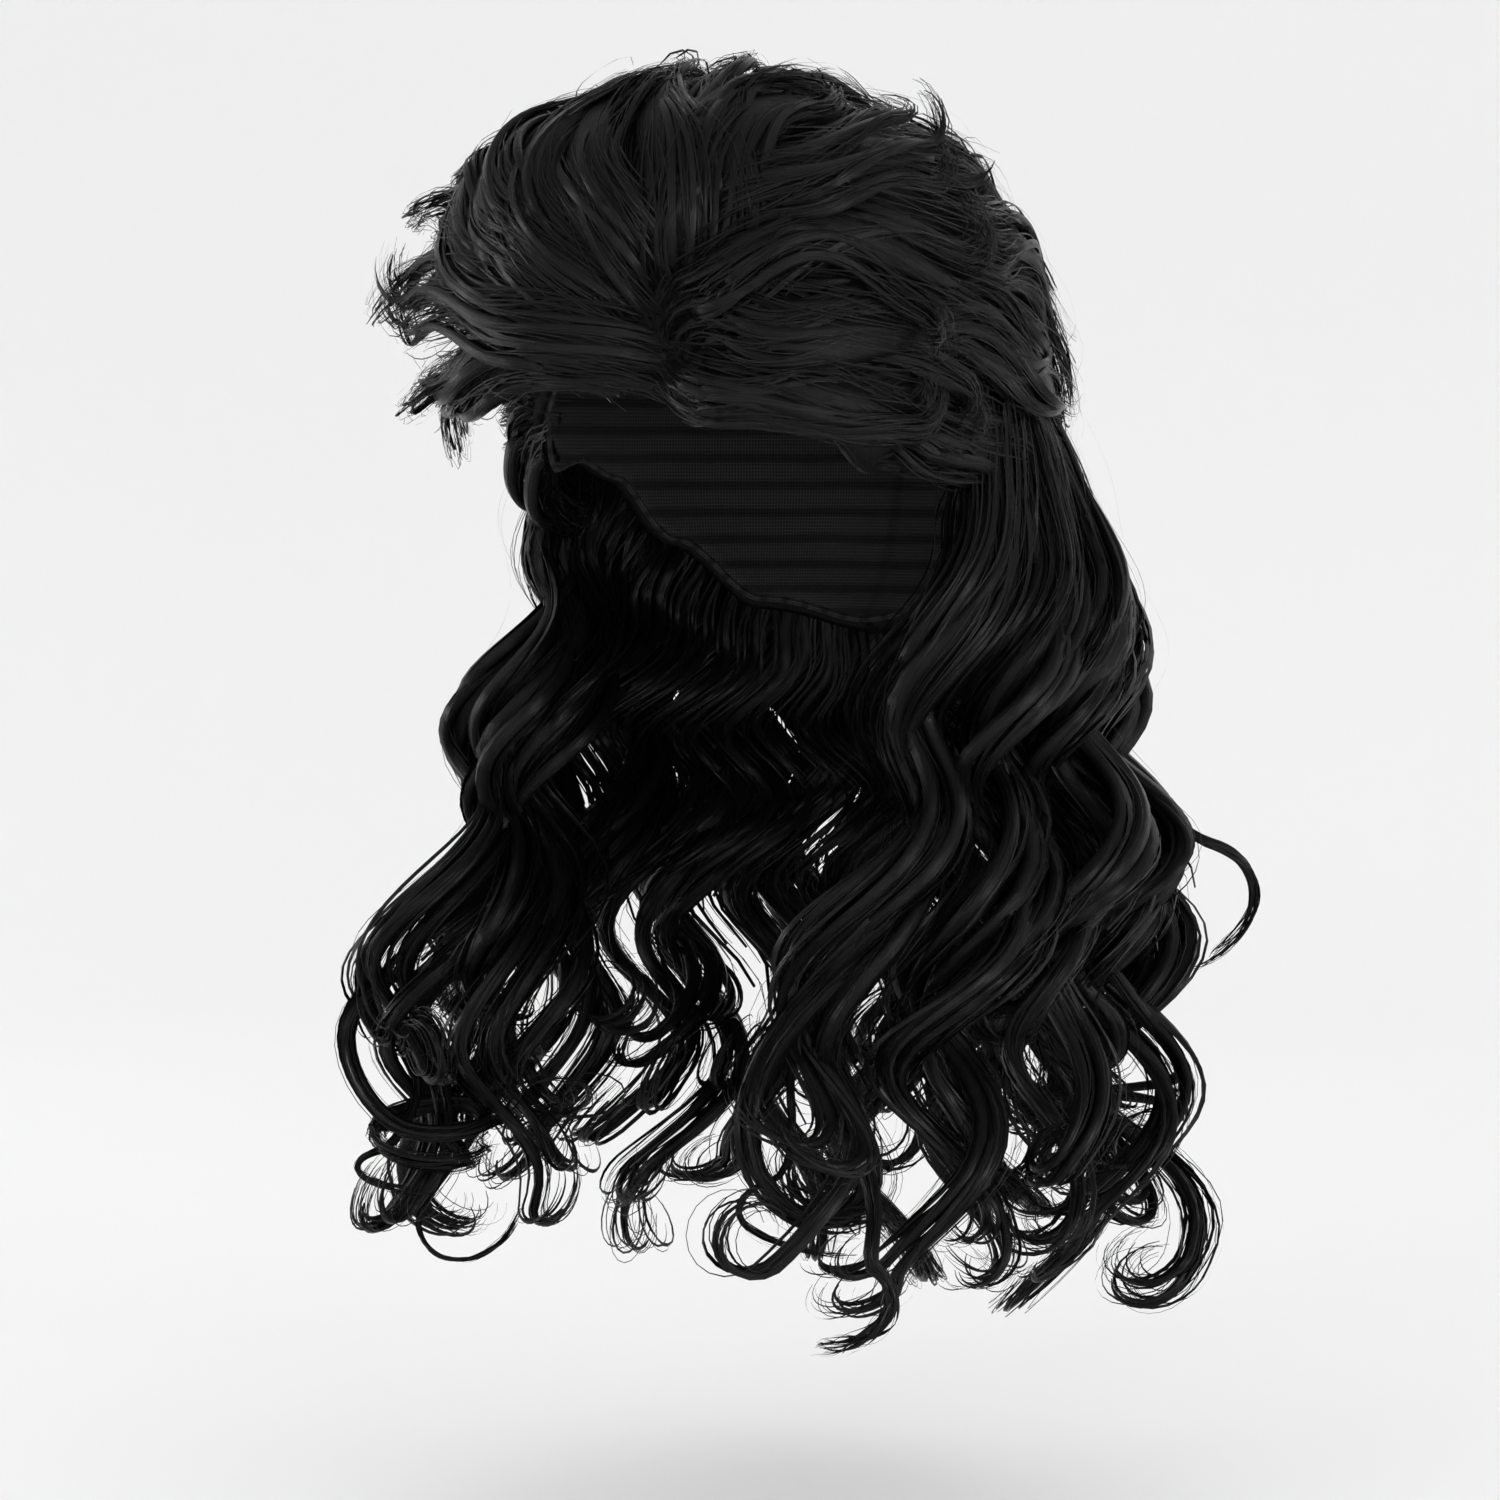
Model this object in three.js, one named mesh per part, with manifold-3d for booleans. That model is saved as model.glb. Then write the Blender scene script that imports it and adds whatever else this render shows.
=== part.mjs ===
// A long curly mullet wig, as it stands when it is worn, in millimetres.
// +Z is up, the face opening looks along -Y and the wearer's left is +X.
// The origin is the inside of the cap's crown, where the top of the head sits.
import * as THREE from "three";
import { mergeVertices } from "three/addons/utils/BufferGeometryUtils.js";
import Module from "manifold-3d";

const wasm = await Module();
wasm.setup();

// The head that the cap is made for
const HEAD_BREADTH = 156;
const HEAD_LENGTH = 196;
const CROWN_HEIGHT = 98; // from the ear line up to the crown

// The cap and the gap that every piece keeps to the one it sits on
const CAP_WALL = 1.5;
const CLEARANCE = 0.4;

// The hair
const UNDER_HAIR_RISE = 38; // the teased under layer, at its thickest
const HAIR_RISE = 56; // from the cap to the top of the bouffant
const SHORT_LOCK_WIDTH = 48;
const SHORT_LOCK_THICKNESS = 24;
const SHORT_WAVE = 8; // how far a short lock swings to each side
const TAIL_DROP = 345; // from the ear line down to the longest tips
const TAIL_HALF_WIDTH = 128;
const TAIL_HALF_DEPTH = 132;
const LONG_LOCK_WIDTH = 38;
const LONG_LOCK_THICKNESS = 24;
const LONG_WAVE = 16; // radius of the waves and ringlets
const CURL_TIGHTENING = 1.25; // over 1, the waves shorten towards the tips

// How finely round things are cut into flat faces
const AROUND_STEPS = 24;
const LEVEL_STEPS = 6;
const SHORT_SIDES = 5;
const SHORT_RINGS = 7;
const LONG_SIDES = 6;
const LONG_RINGS = 20;

const EDGE_MARGIN = 1.5; // degrees that hair is kept clear of the cap's edge
const CURVE_STEP = 0.004; // share of a lock's length over which its direction is taken
const WELD = 1e-4; // points nearer than this are one point

// How a lock's section changes along it, as shares of its full size, and where it is full
const FULL_AT = 0.35;
const TAPERS = {
  shortWidth: { root: 0.5, tip: 0.34 },
  shortThickness: { root: 0.7, tip: 0.3 },
  longWidth: { root: 0.8, tip: 0.2 },
  longThickness: { root: 0.6, tip: 0.3 },
};

// Where a long lock leaves the head: its root's share of HAIR_RISE, the degrees that it has come
// down to where it swells out, and the share of its fall where it turns straight down
const LONG_ROOT_RISE = 0.38;
const SHOULDER_BELOW_ROOT = 34;
const HANGS_FROM = 0.5;
const WAVE_STARTS = 0.05; // shares of a long lock's length
const WAVE_IS_FULL = 0.55;

const DEGREE = Math.PI / 180;

// Where the cap's edge runs, in degrees round from the forehead and up from the ear line
const CAP_EDGE = [
  { around: 0, level: 25 },
  { around: 28, level: 22 },
  { around: 50, level: 9 },
  { around: 66, level: -3 },
  { around: 82, level: -1 },
  { around: 96, level: -5 },
  { around: 114, level: -20 },
  { around: 140, level: -36 },
  { around: 180, level: -42 },
];

// How thick the under layer is, as a share of UNDER_HAIR_RISE, at the edge and higher up
const UNDER_HAIR = [
  { above: 0, front: 0.1, back: 0.16 },
  { above: 14, front: 0.36, back: 0.4 },
  { above: 34, front: 0.8, back: 0.62 },
  { above: 65, front: 1, back: 0.86 },
  { above: 132, front: 1, back: 1 },
];

// The short locks. Each runs over three stations, root, crest and tip, in degrees round from the
// forehead, in degrees up from the ear line, and in shares of HAIR_RISE above the cap.
const SHORT_LOCKS = {
  quiff_right: [
    { around: [8, -34, -70], level: [23, 17, 9],
      rise: [0.16, 0.7, 1.12], width: 0.8, wave: 0.5, waves: 1 },
    { around: [7, -36, -70], level: [28, 26, 20],
      rise: [0.3, 0.96, 1.44], width: 0.9, wave: -0.6, waves: 1 },
    { around: [5, -40, -72], level: [34, 39, 34],
      rise: [0.4, 1.08, 1.44], width: 1, wave: 0.6, waves: 1.5 },
    { around: [3, -46, -88], level: [41, 52, 49],
      rise: [0.46, 1.12, 1.3], width: 1, wave: -0.6, waves: 1 },
    { around: [0, -46, -116], level: [48, 68, 66],
      rise: [0.5, 1.02, 1.0], width: 1.05, wave: 0.6, waves: 1.5 },
  ],
  quiff_left: [
    { around: [14, 46, 86], level: [23, 12, -1],
      rise: [0.14, 0.42, 0.5], width: 0.76, wave: 0.6, waves: 1 },
    { around: [14, 48, 96], level: [29, 25, 11],
      rise: [0.28, 0.6, 0.62], width: 0.9, wave: -0.8, waves: 1.5 },
    { around: [13, 50, 104], level: [36, 38, 26],
      rise: [0.4, 0.78, 0.76], width: 1, wave: 0.8, waves: 1.5 },
    { around: [11, 50, 110], level: [43, 53, 43],
      rise: [0.46, 0.94, 1.02], width: 1.05, wave: -0.7, waves: 1.5 },
    { around: [8, 36, 130], level: [52, 75, 66],
      rise: [0.5, 0.96, 0.94], width: 1.1, wave: 0.6, waves: 1 },
  ],
  side_right: [
    { around: [-46, -70, -92], level: [12, -1, -12],
      rise: [0.18, 0.36, 0.46], width: 0.74, wave: 0.5, waves: 1 },
    { around: [-56, -82, -110], level: [16, 10, 0],
      rise: [0.3, 0.56, 0.62], width: 0.9, wave: -0.6, waves: 1 },
    { around: [-74, -96, -124], level: [30, 26, 16],
      rise: [0.6, 0.8, 0.76], width: 1, wave: 0.6, waves: 1 },
    { around: [-86, -106, -130], level: [46, 42, 32],
      rise: [0.8, 0.92, 0.86], width: 1, wave: -0.6, waves: 1 },
  ],
  side_left: [
    { around: [70, 92, 116], level: [12, 2, -12],
      rise: [0.36, 0.54, 0.6], width: 0.86, wave: 0.7, waves: 1 },
    { around: [82, 104, 126], level: [28, 16, -2],
      rise: [0.6, 0.72, 0.7], width: 1.05, wave: -0.8, waves: 1.5 },
    { around: [90, 114, 132], level: [44, 33, 14],
      rise: [0.78, 0.86, 0.8], width: 1.1, wave: 0.7, waves: 1.5 },
  ],
  crown_layers: [
    { around: [-120, -128, -140], level: [66, 42, 4],
      rise: [0.9, 0.88, 0.7], width: 1.1, wave: -0.6, waves: 1.5 },
    { around: [-146, -148, -160], level: [74, 42, -6],
      rise: [0.92, 0.88, 0.66], width: 1.15, wave: 0.7, waves: 1.5 },
    { around: [-172, -170, -178], level: [80, 44, -10],
      rise: [0.94, 0.88, 0.64], width: 1.15, wave: -0.7, waves: 1.5 },
    { around: [172, 166, 162], level: [78, 45, -8],
      rise: [0.94, 0.9, 0.66], width: 1.15, wave: 0.7, waves: 1.5 },
    { around: [146, 146, 144], level: [72, 44, -4],
      rise: [0.92, 0.9, 0.7], width: 1.15, wave: -0.7, waves: 1.5 },
    { around: [120, 128, 134], level: [64, 50, 20],
      rise: [0.92, 0.94, 0.84], width: 1, wave: 0.6, waves: 1 },
  ],
};

// The long locks of the tail, round from the wearer's left ear over the nape to the right one.
// around and level say where a lock is rooted. aside, behind and fall say where its tip ends, as
// shares of TAIL_HALF_WIDTH, TAIL_HALF_DEPTH and TAIL_DROP, and swell how far it stands out on the way.
// Its curl starts at an angle and tightens towards the tip over a number of turns.
const LONG_LOCKS = [
  { name: "lock_left_1", around: 96, level: 12,
    aside: 0.52, behind: -0.62, fall: 0.99, swell: 0.16, start: 250, turns: 3.0, width: 0.95 },
  { name: "lock_left_2", around: 108, level: 12,
    aside: 0.8, behind: -0.32, fall: 0.92, swell: 0.36, start: 230, turns: 3.0, width: 1 },
  { name: "lock_left_3", around: 120, level: 12,
    aside: 0.98, behind: 0.06, fall: 0.86, swell: 0.46, start: 200, turns: 3.0, width: 1 },
  { name: "lock_left_4", around: 133, level: 11,
    aside: 0.98, behind: 0.48, fall: 0.9, swell: 0.42, start: 170, turns: 3.2, width: 1 },
  { name: "lock_back_1", around: 146, level: 10,
    aside: 0.82, behind: 0.8, fall: 0.97, swell: 0.34, start: 150, turns: 3.3, width: 1 },
  { name: "lock_back_2", around: 159, level: 10,
    aside: 0.48, behind: 0.95, fall: 1, swell: 0.32, start: 130, turns: 3.4, width: 1.05 },
  { name: "lock_back_3", around: 173, level: 10,
    aside: 0.14, behind: 1, fall: 0.97, swell: 0.32, start: 100, turns: 3.3, width: 1.05 },
  { name: "lock_back_4", around: 187, level: 10,
    aside: -0.2, behind: 0.99, fall: 1, swell: 0.32, start: 70, turns: 3.4, width: 1.05 },
  { name: "lock_back_5", around: 201, level: 10,
    aside: -0.54, behind: 0.88, fall: 0.96, swell: 0.32, start: 40, turns: 3.3, width: 1.05 },
  { name: "lock_right_5", around: 215, level: 10,
    aside: -0.82, behind: 0.62, fall: 0.9, swell: 0.36, start: 10, turns: 3.2, width: 1 },
  { name: "lock_right_4", around: 228, level: 11,
    aside: -0.98, behind: 0.24, fall: 0.85, swell: 0.3, start: 340, turns: 3.0, width: 1 },
  { name: "lock_right_3", around: 240, level: 12,
    aside: -1, behind: -0.2, fall: 0.84, swell: 0.18, start: 310, turns: 3.1, width: 1 },
  { name: "lock_right_2", around: 252, level: 12,
    aside: -0.94, behind: -0.62, fall: 0.88, swell: 0.1, start: 290, turns: 3.2, width: 1 },
  { name: "lock_right_1", around: 264, level: 12,
    aside: -0.64, behind: -0.46, fall: 0.84, swell: 0.08, start: 270, turns: 3.0, width: 0.9 },
];

const blackFibre = new THREE.MeshStandardMaterial({ color: 0x151416, roughness: 0.42, metalness: 0 });
const darkUnderFibre = new THREE.MeshStandardMaterial({ color: 0x0d0c0d, roughness: 0.6, metalness: 0 });
const blackNet = new THREE.MeshStandardMaterial({ color: 0x121212, roughness: 0.9, metalness: 0 });

// A point over the head: degrees round from the forehead, degrees up from the ear line, and
// millimetres out from the head.
function overHead(around, level, out) {
  const a = around * DEGREE;
  const l = level * DEGREE;
  return new THREE.Vector3(
    (HEAD_BREADTH / 2 + out) * Math.cos(l) * Math.sin(a),
    -(HEAD_LENGTH / 2 + out) * Math.cos(l) * Math.cos(a),
    (CROWN_HEIGHT + out) * Math.sin(l) - CROWN_HEIGHT,
  );
}

// The value of a table's column at a place between its rows, eased so that it has no kinks
function between(rows, key, place, column) {
  const last = rows.length - 1;
  const next = Math.min(last, Math.max(1, rows.findIndex((row) => row[key] >= place)));
  const from = rows[next - 1];
  const to = rows[next];
  const share = THREE.MathUtils.clamp((place - from[key]) / (to[key] - from[key]), 0, 1);
  const eased = (1 - Math.cos(share * Math.PI)) / 2;
  return from[column] + (to[column] - from[column]) * eased;
}

function capEdge(around) {
  const fromFront = Math.abs(((around + 540) % 360) - 180);
  return between(CAP_EDGE, "around", fromFront, "level");
}

// How far the under layer's top stands off the head
function underHairTop(around, level) {
  const above = level - capEdge(around);
  const towardsBack = (1 - Math.cos(around * DEGREE)) / 2;
  const front = between(UNDER_HAIR, "above", above, "front");
  const back = between(UNDER_HAIR, "above", above, "back");
  return CAP_WALL + CLEARANCE + UNDER_HAIR_RISE * (front + (back - front) * towardsBack);
}

// A geometry from points and triangles as a manifold solid
function solidOf(points, triangles) {
  const geometry = new THREE.BufferGeometry().setFromPoints(points);
  geometry.setIndex(triangles);
  const merged = mergeVertices(geometry, WELD);
  return new wasm.Manifold(new wasm.Mesh({
    numProp: 3,
    vertProperties: merged.attributes.position.array,
    triVerts: new Uint32Array(merged.index.array),
  }));
}

// One dome of points from the crown down to the cap's edge, at the distance that out(around, level) gives
function domePoints(out) {
  const points = [overHead(0, 90, out(0, 90))];
  for (let row = 1; row <= LEVEL_STEPS; row++) {
    for (let step = 0; step < AROUND_STEPS; step++) {
      const around = (step * 360) / AROUND_STEPS;
      const level = 90 - ((90 - capEdge(around)) * row) / LEVEL_STEPS;
      points.push(overHead(around, level, out(around, level)));
    }
  }
  return points;
}

// The dome's triangles, facing out, for points that start at the given index
function domeTriangles(first) {
  const at = (row, step) => first + 1 + (row - 1) * AROUND_STEPS + (step % AROUND_STEPS);
  const triangles = [];
  for (let step = 0; step < AROUND_STEPS; step++) {
    triangles.push(first, at(1, step), at(1, step + 1));
    for (let row = 1; row < LEVEL_STEPS; row++) {
      triangles.push(at(row, step), at(row + 1, step), at(row + 1, step + 1));
      triangles.push(at(row, step), at(row + 1, step + 1), at(row, step + 1));
    }
  }
  return triangles;
}

// A hollow shell between two domes, open below, as a cap is
function shell(inside, outside) {
  const points = [...domePoints(outside), ...domePoints(inside)];
  const innerFirst = points.length / 2;
  const triangles = domeTriangles(0);
  const inner = domeTriangles(innerFirst);
  for (let i = 0; i < inner.length; i += 3) {
    triangles.push(inner[i], inner[i + 2], inner[i + 1]);
  }
  const rim = 1 + (LEVEL_STEPS - 1) * AROUND_STEPS;
  for (let step = 0; step < AROUND_STEPS; step++) {
    const here = rim + step;
    const next = rim + ((step + 1) % AROUND_STEPS);
    triangles.push(here, innerFirst + here, innerFirst + next, here, innerFirst + next, next);
  }
  return solidOf(points, triangles);
}

// A filled dome, to cut what sits on it. It reaches just past the edge, and its floor is a cone.
function filledDome(outside) {
  const points = domePoints(outside);
  const triangles = domeTriangles(0);
  const edge = 1 + (LEVEL_STEPS - 1) * AROUND_STEPS;
  const past = points.length;
  for (let step = 0; step < AROUND_STEPS; step++) {
    const around = (step * 360) / AROUND_STEPS;
    const level = capEdge(around);
    points.push(overHead(around, level - EDGE_MARGIN, outside(around, level)));
  }
  const middle = points.push(new THREE.Vector3(0, 0, -CROWN_HEIGHT)) - 1;
  for (let step = 0; step < AROUND_STEPS; step++) {
    const next = (step + 1) % AROUND_STEPS;
    triangles.push(edge + step, past + step, past + next, edge + step, past + next, edge + next);
    triangles.push(past + step, middle, past + next);
  }
  return solidOf(points, triangles);
}

// A closed lock of oval section along a path. pathAt(t) gives its middle, facing(t, point) the
// direction that its broad side looks in, halfWidth(t) and halfThickness(t) its section, bunching
// how much closer its rings lie towards the tip, and grow how much larger it is all round.
function lockSolid({ pathAt, facing, halfWidth, halfThickness, rings, sides, bunching, grow }) {
  const points = [];
  const middles = [];
  const triangles = [];
  for (let ring = 0; ring <= rings; ring++) {
    const t = (ring / rings) ** (1 / bunching);
    const along = directionOf(pathAt, t);
    const past = ring === 0 ? -grow : ring === rings ? grow : 0;
    const middle = pathAt(t).addScaledVector(along, past);
    const across = new THREE.Vector3().crossVectors(along, facing(t, middle)).normalize();
    const outward = new THREE.Vector3().crossVectors(across, along);
    for (let side = 0; side < sides; side++) {
      const turn = (2 * Math.PI * side) / sides;
      points.push(middle.clone()
        .addScaledVector(across, (halfWidth(t) + grow) * Math.cos(turn))
        .addScaledVector(outward, (halfThickness(t) + grow) * Math.sin(turn)));
    }
    middles.push(middle);
  }
  const at = (ring, side) => ring * sides + (side % sides);
  const root = points.push(middles[0]) - 1;
  const tip = points.push(middles[rings]) - 1;
  for (let side = 0; side < sides; side++) {
    triangles.push(root, at(0, side), at(0, side + 1));
    triangles.push(tip, at(rings, side + 1), at(rings, side));
    for (let ring = 0; ring < rings; ring++) {
      triangles.push(at(ring, side), at(ring + 1, side + 1), at(ring, side + 1));
      triangles.push(at(ring, side), at(ring + 1, side), at(ring + 1, side + 1));
    }
  }
  return solidOf(points, triangles);
}

// A smooth value through three stations, at the root, the crest and the tip
function throughThree([root, crest, tip], t) {
  return root * (1 - t) * (1 - 2 * t) + crest * 4 * t * (1 - t) + tip * t * (2 * t - 1);
}

// A lock's section at t: it grows from the root to where it is full and thins to the tip
function taper({ root, tip }, t) {
  if (t < FULL_AT) {
    return root + (1 - root) * Math.sin((t / FULL_AT) * (Math.PI / 2));
  }
  const past = (t - FULL_AT) / (1 - FULL_AT);
  return tip + (1 - tip) * Math.cos(past * (Math.PI / 2));
}

// The direction of a path at t
function directionOf(pathAt, t) {
  const ahead = pathAt(Math.min(1, t + CURVE_STEP));
  return ahead.sub(pathAt(Math.max(0, t - CURVE_STEP))).normalize();
}

// Straight out from the head at a point
function outFromHead(point) {
  return new THREE.Vector3(
    point.x / (HEAD_BREADTH / 2) ** 2,
    point.y / (HEAD_LENGTH / 2) ** 2,
    (point.z + CROWN_HEIGHT) / CROWN_HEIGHT ** 2,
  ).normalize();
}

function shortLock(lock, grow) {
  const middleLine = (t) => overHead(
    throughThree(lock.around, t),
    throughThree(lock.level, t),
    CAP_WALL + HAIR_RISE * throughThree(lock.rise, t) - SHORT_LOCK_THICKNESS / 2,
  );
  const pathAt = (t) => {
    const point = middleLine(t);
    const across = directionOf(middleLine, t).cross(outFromHead(point)).normalize();
    return point.addScaledVector(across, SHORT_WAVE * lock.wave * Math.sin(2 * Math.PI * lock.waves * t));
  };
  return lockSolid({
    pathAt,
    facing: (t, point) => outFromHead(point),
    halfWidth: (t) => (SHORT_LOCK_WIDTH / 2) * lock.width * taper(TAPERS.shortWidth, t),
    halfThickness: (t) => (SHORT_LOCK_THICKNESS / 2) * taper(TAPERS.shortThickness, t),
    rings: SHORT_RINGS,
    sides: SHORT_SIDES,
    bunching: 1,
    grow,
  });
}

function longLock(lock, grow) {
  const rootOut = CAP_WALL + HAIR_RISE * LONG_ROOT_RISE;
  const tipHeight = -CROWN_HEIGHT - TAIL_DROP * lock.fall;
  const hangHeight = -CROWN_HEIGHT - TAIL_DROP * lock.fall * HANGS_FROM;
  const aside = TAIL_HALF_WIDTH * lock.aside;
  const behind = TAIL_HALF_DEPTH * lock.behind;
  const fallLine = new THREE.CubicBezierCurve3(
    overHead(lock.around, lock.level, rootOut),
    overHead(lock.around, lock.level - SHOULDER_BELOW_ROOT, rootOut + TAIL_HALF_WIDTH * lock.swell),
    new THREE.Vector3(aside, behind, hangHeight),
    new THREE.Vector3(aside, behind, tipHeight),
  );
  const outward = new THREE.Vector3(Math.sin(lock.around * DEGREE), -Math.cos(lock.around * DEGREE), 0);
  const sideways = new THREE.Vector3(-outward.y, outward.x, 0);
  const pathAt = (t) => {
    const angle = (lock.start + 360 * lock.turns * t ** CURL_TIGHTENING) * DEGREE;
    const radius = LONG_WAVE * THREE.MathUtils.smoothstep(t, WAVE_STARTS, WAVE_IS_FULL);
    return fallLine.getPoint(t)
      .addScaledVector(sideways, radius * Math.cos(angle))
      .addScaledVector(outward, radius * Math.sin(angle));
  };
  return lockSolid({
    pathAt,
    facing: () => outward,
    halfWidth: (t) => (LONG_LOCK_WIDTH / 2) * lock.width * taper(TAPERS.longWidth, t),
    halfThickness: (t) => (LONG_LOCK_THICKNESS / 2) * taper(TAPERS.longThickness, t),
    rings: LONG_RINGS,
    sides: LONG_SIDES,
    bunching: CURL_TIGHTENING,
    grow,
  });
}

// The largest body of a solid, without the crumbs that a cut can leave beside it
function mainBody(solid) {
  return solid.decompose().reduce((a, b) => (a.volume() > b.volume() ? a : b));
}

function meshOf(name, solid, material) {
  const { vertProperties, triVerts } = solid.getMesh();
  const geometry = new THREE.BufferGeometry();
  geometry.setAttribute("position", new THREE.BufferAttribute(vertProperties, 3));
  geometry.setIndex(new THREE.BufferAttribute(triVerts, 1));
  geometry.computeVertexNormals();
  const mesh = new THREE.Mesh(geometry, material);
  mesh.name = name;
  return mesh;
}

function capSolid() {
  return shell(() => 0, () => CAP_WALL);
}

function underHairSolid() {
  return shell(() => CAP_WALL + CLEARANCE, underHairTop);
}

const wig = new THREE.Group();
wig.add(meshOf("cap", capSolid(), blackNet));
wig.add(meshOf("under_hair", underHairSolid(), darkUnderFibre));

// Every lock is cut back from what it lies on and from the locks made before it
let taken = filledDome((around, level) => underHairTop(around, level) + CLEARANCE);
for (const [name, locks] of Object.entries(SHORT_LOCKS)) {
  const whole = locks.map((lock) => shortLock(lock, 0)).reduce((a, b) => a.add(b));
  const grown = locks.map((lock) => shortLock(lock, CLEARANCE)).reduce((a, b) => a.add(b));
  wig.add(meshOf(name, mainBody(whole.subtract(taken)), blackFibre));
  taken = taken.add(grown);
}
for (const lock of LONG_LOCKS) {
  wig.add(meshOf(lock.name, mainBody(longLock(lock, 0).subtract(taken)), blackFibre));
  taken = taken.add(longLock(lock, CLEARANCE));
}

export default wig;
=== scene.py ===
# %% [markdown]
# A long curly black mullet wig, dressed for its portrait.
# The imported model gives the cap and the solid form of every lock. Real hair is thousands of fibres,
# so each solid lock is replaced here by clumps of modelled fibres that follow the same line.
# We load the model first and keep its box, because no curl may reach much beyond it.

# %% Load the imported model
import math

import bpy
import numpy as np
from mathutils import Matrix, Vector


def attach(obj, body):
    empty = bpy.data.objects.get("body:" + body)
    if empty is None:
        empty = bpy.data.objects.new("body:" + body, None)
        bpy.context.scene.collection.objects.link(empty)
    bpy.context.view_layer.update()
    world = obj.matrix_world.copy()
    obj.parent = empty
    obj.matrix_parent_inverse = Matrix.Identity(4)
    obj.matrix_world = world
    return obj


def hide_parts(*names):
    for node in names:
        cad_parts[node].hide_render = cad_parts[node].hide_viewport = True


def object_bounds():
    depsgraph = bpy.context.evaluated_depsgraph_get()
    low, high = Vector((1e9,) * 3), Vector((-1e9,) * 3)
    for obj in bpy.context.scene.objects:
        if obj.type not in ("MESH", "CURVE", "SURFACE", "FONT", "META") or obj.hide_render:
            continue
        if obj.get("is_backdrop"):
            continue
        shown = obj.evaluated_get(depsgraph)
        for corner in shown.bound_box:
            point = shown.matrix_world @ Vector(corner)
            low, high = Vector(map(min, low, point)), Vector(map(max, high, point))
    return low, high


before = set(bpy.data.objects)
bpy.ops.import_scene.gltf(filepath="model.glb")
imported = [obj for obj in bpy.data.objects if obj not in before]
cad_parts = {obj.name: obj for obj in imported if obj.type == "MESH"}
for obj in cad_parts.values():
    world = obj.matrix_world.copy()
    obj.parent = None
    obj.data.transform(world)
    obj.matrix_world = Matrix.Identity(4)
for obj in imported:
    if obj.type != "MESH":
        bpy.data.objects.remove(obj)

MM = 0.001
cad_low, cad_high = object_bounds()
print("solid model's box in mm:", [round(v / MM) for v in (*cad_low, *cad_high)])

# %% [markdown]
# The camera stands to the left side of the wig and slightly above its brow. A wide lens from close by
# would swell whatever is near it, so we use a long lens from far away: the distance and the width of
# the picture set it. The crown of the cap is the fixed point that we line up.

# %% Camera
FRAME_PIXELS = 1500
CROWN_AT_PIXEL = (765, 207)
VIEW_AROUND = math.radians(33)
VIEW_HEIGHT = math.radians(4)
VIEW_DISTANCE = 1.70
VIEW_WIDTH = 0.585
SENSOR = 36

back = Vector((
    math.sin(VIEW_AROUND) * math.cos(VIEW_HEIGHT),
    -math.cos(VIEW_AROUND) * math.cos(VIEW_HEIGHT),
    math.sin(VIEW_HEIGHT),
))
right = Vector((math.cos(VIEW_AROUND), math.sin(VIEW_AROUND), 0))
up = back.cross(right)
pixel = VIEW_WIDTH / FRAME_PIXELS
crown_right = (CROWN_AT_PIXEL[0] - FRAME_PIXELS / 2) * pixel
crown_up = (FRAME_PIXELS / 2 - CROWN_AT_PIXEL[1]) * pixel
aim = -right * crown_right - up * crown_up

camera = bpy.data.objects.new("camera", bpy.data.cameras.new("camera"))
camera.data.sensor_width = SENSOR
camera.data.lens = SENSOR * VIEW_DISTANCE / VIEW_WIDTH
camera.location = aim + back * VIEW_DISTANCE
camera.rotation_mode = "QUATERNION"
camera.rotation_quaternion = (-back).to_track_quat("-Z", "Y")
bpy.context.scene.collection.objects.link(camera)
bpy.context.scene.camera = camera
print("lens in mm:", round(camera.data.lens, 1))

# %% [markdown]
# Black hair is drawn almost wholly by its highlights. Large soft boxes make long soft sheens, where
# small lamps would make glitter. A white surround fills the rest, and the floor turns up into a bowl
# so that no horizon shows behind the wig.

# %% Studio
STUDIO_CENTRE = Vector((0, 0, -0.2))
FLOOR_BELOW_WIG = 0.07


def node_material(name):
    material = bpy.data.materials.new(name)
    material.use_nodes = True
    return material, material.node_tree.nodes, material.node_tree.links


def soft_box(name, around, height, distance, size, watts):
    """A square lamp, degrees round from the front and degrees up, that looks at the wig."""
    a, h = math.radians(around), math.radians(height)
    direction = Vector((math.sin(a) * math.cos(h), -math.cos(a) * math.cos(h), math.sin(h)))
    lamp = bpy.data.objects.new(name, bpy.data.lights.new(name, "AREA"))
    lamp.data.size = size
    lamp.data.energy = watts
    lamp.location = STUDIO_CENTRE + direction * distance
    lamp.rotation_mode = "QUATERNION"
    lamp.rotation_quaternion = direction.to_track_quat("Z", "Y")
    bpy.context.scene.collection.objects.link(lamp)


LAMPS = [
    dict(name="key_soft_box", around=-8, height=22, distance=2.4, size=1.0, watts=6),
    dict(name="side_soft_box", around=84, height=-2, distance=2.6, size=1.0, watts=62),
    dict(name="far_soft_box", around=-70, height=-2, distance=2.6, size=0.9, watts=44),
    dict(name="front_soft_box", around=38, height=-3, distance=2.8, size=1.0, watts=30),
    dict(name="hair_light", around=190, height=46, distance=2.6, size=1.2, watts=4),
]
for row in LAMPS:
    soft_box(**row)

SURROUND_STRENGTH = 0.78
world = bpy.data.worlds.new("white_surround")
bpy.context.scene.world = world
world.use_nodes = True
surround = world.node_tree.nodes["Background"]
surround.inputs["Color"].default_value = (1, 1, 1, 1)
surround.inputs["Strength"].default_value = SURROUND_STRENGTH
bpy.context.scene.view_settings.view_transform = "Standard"
print(len(LAMPS), "soft boxes")

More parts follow.
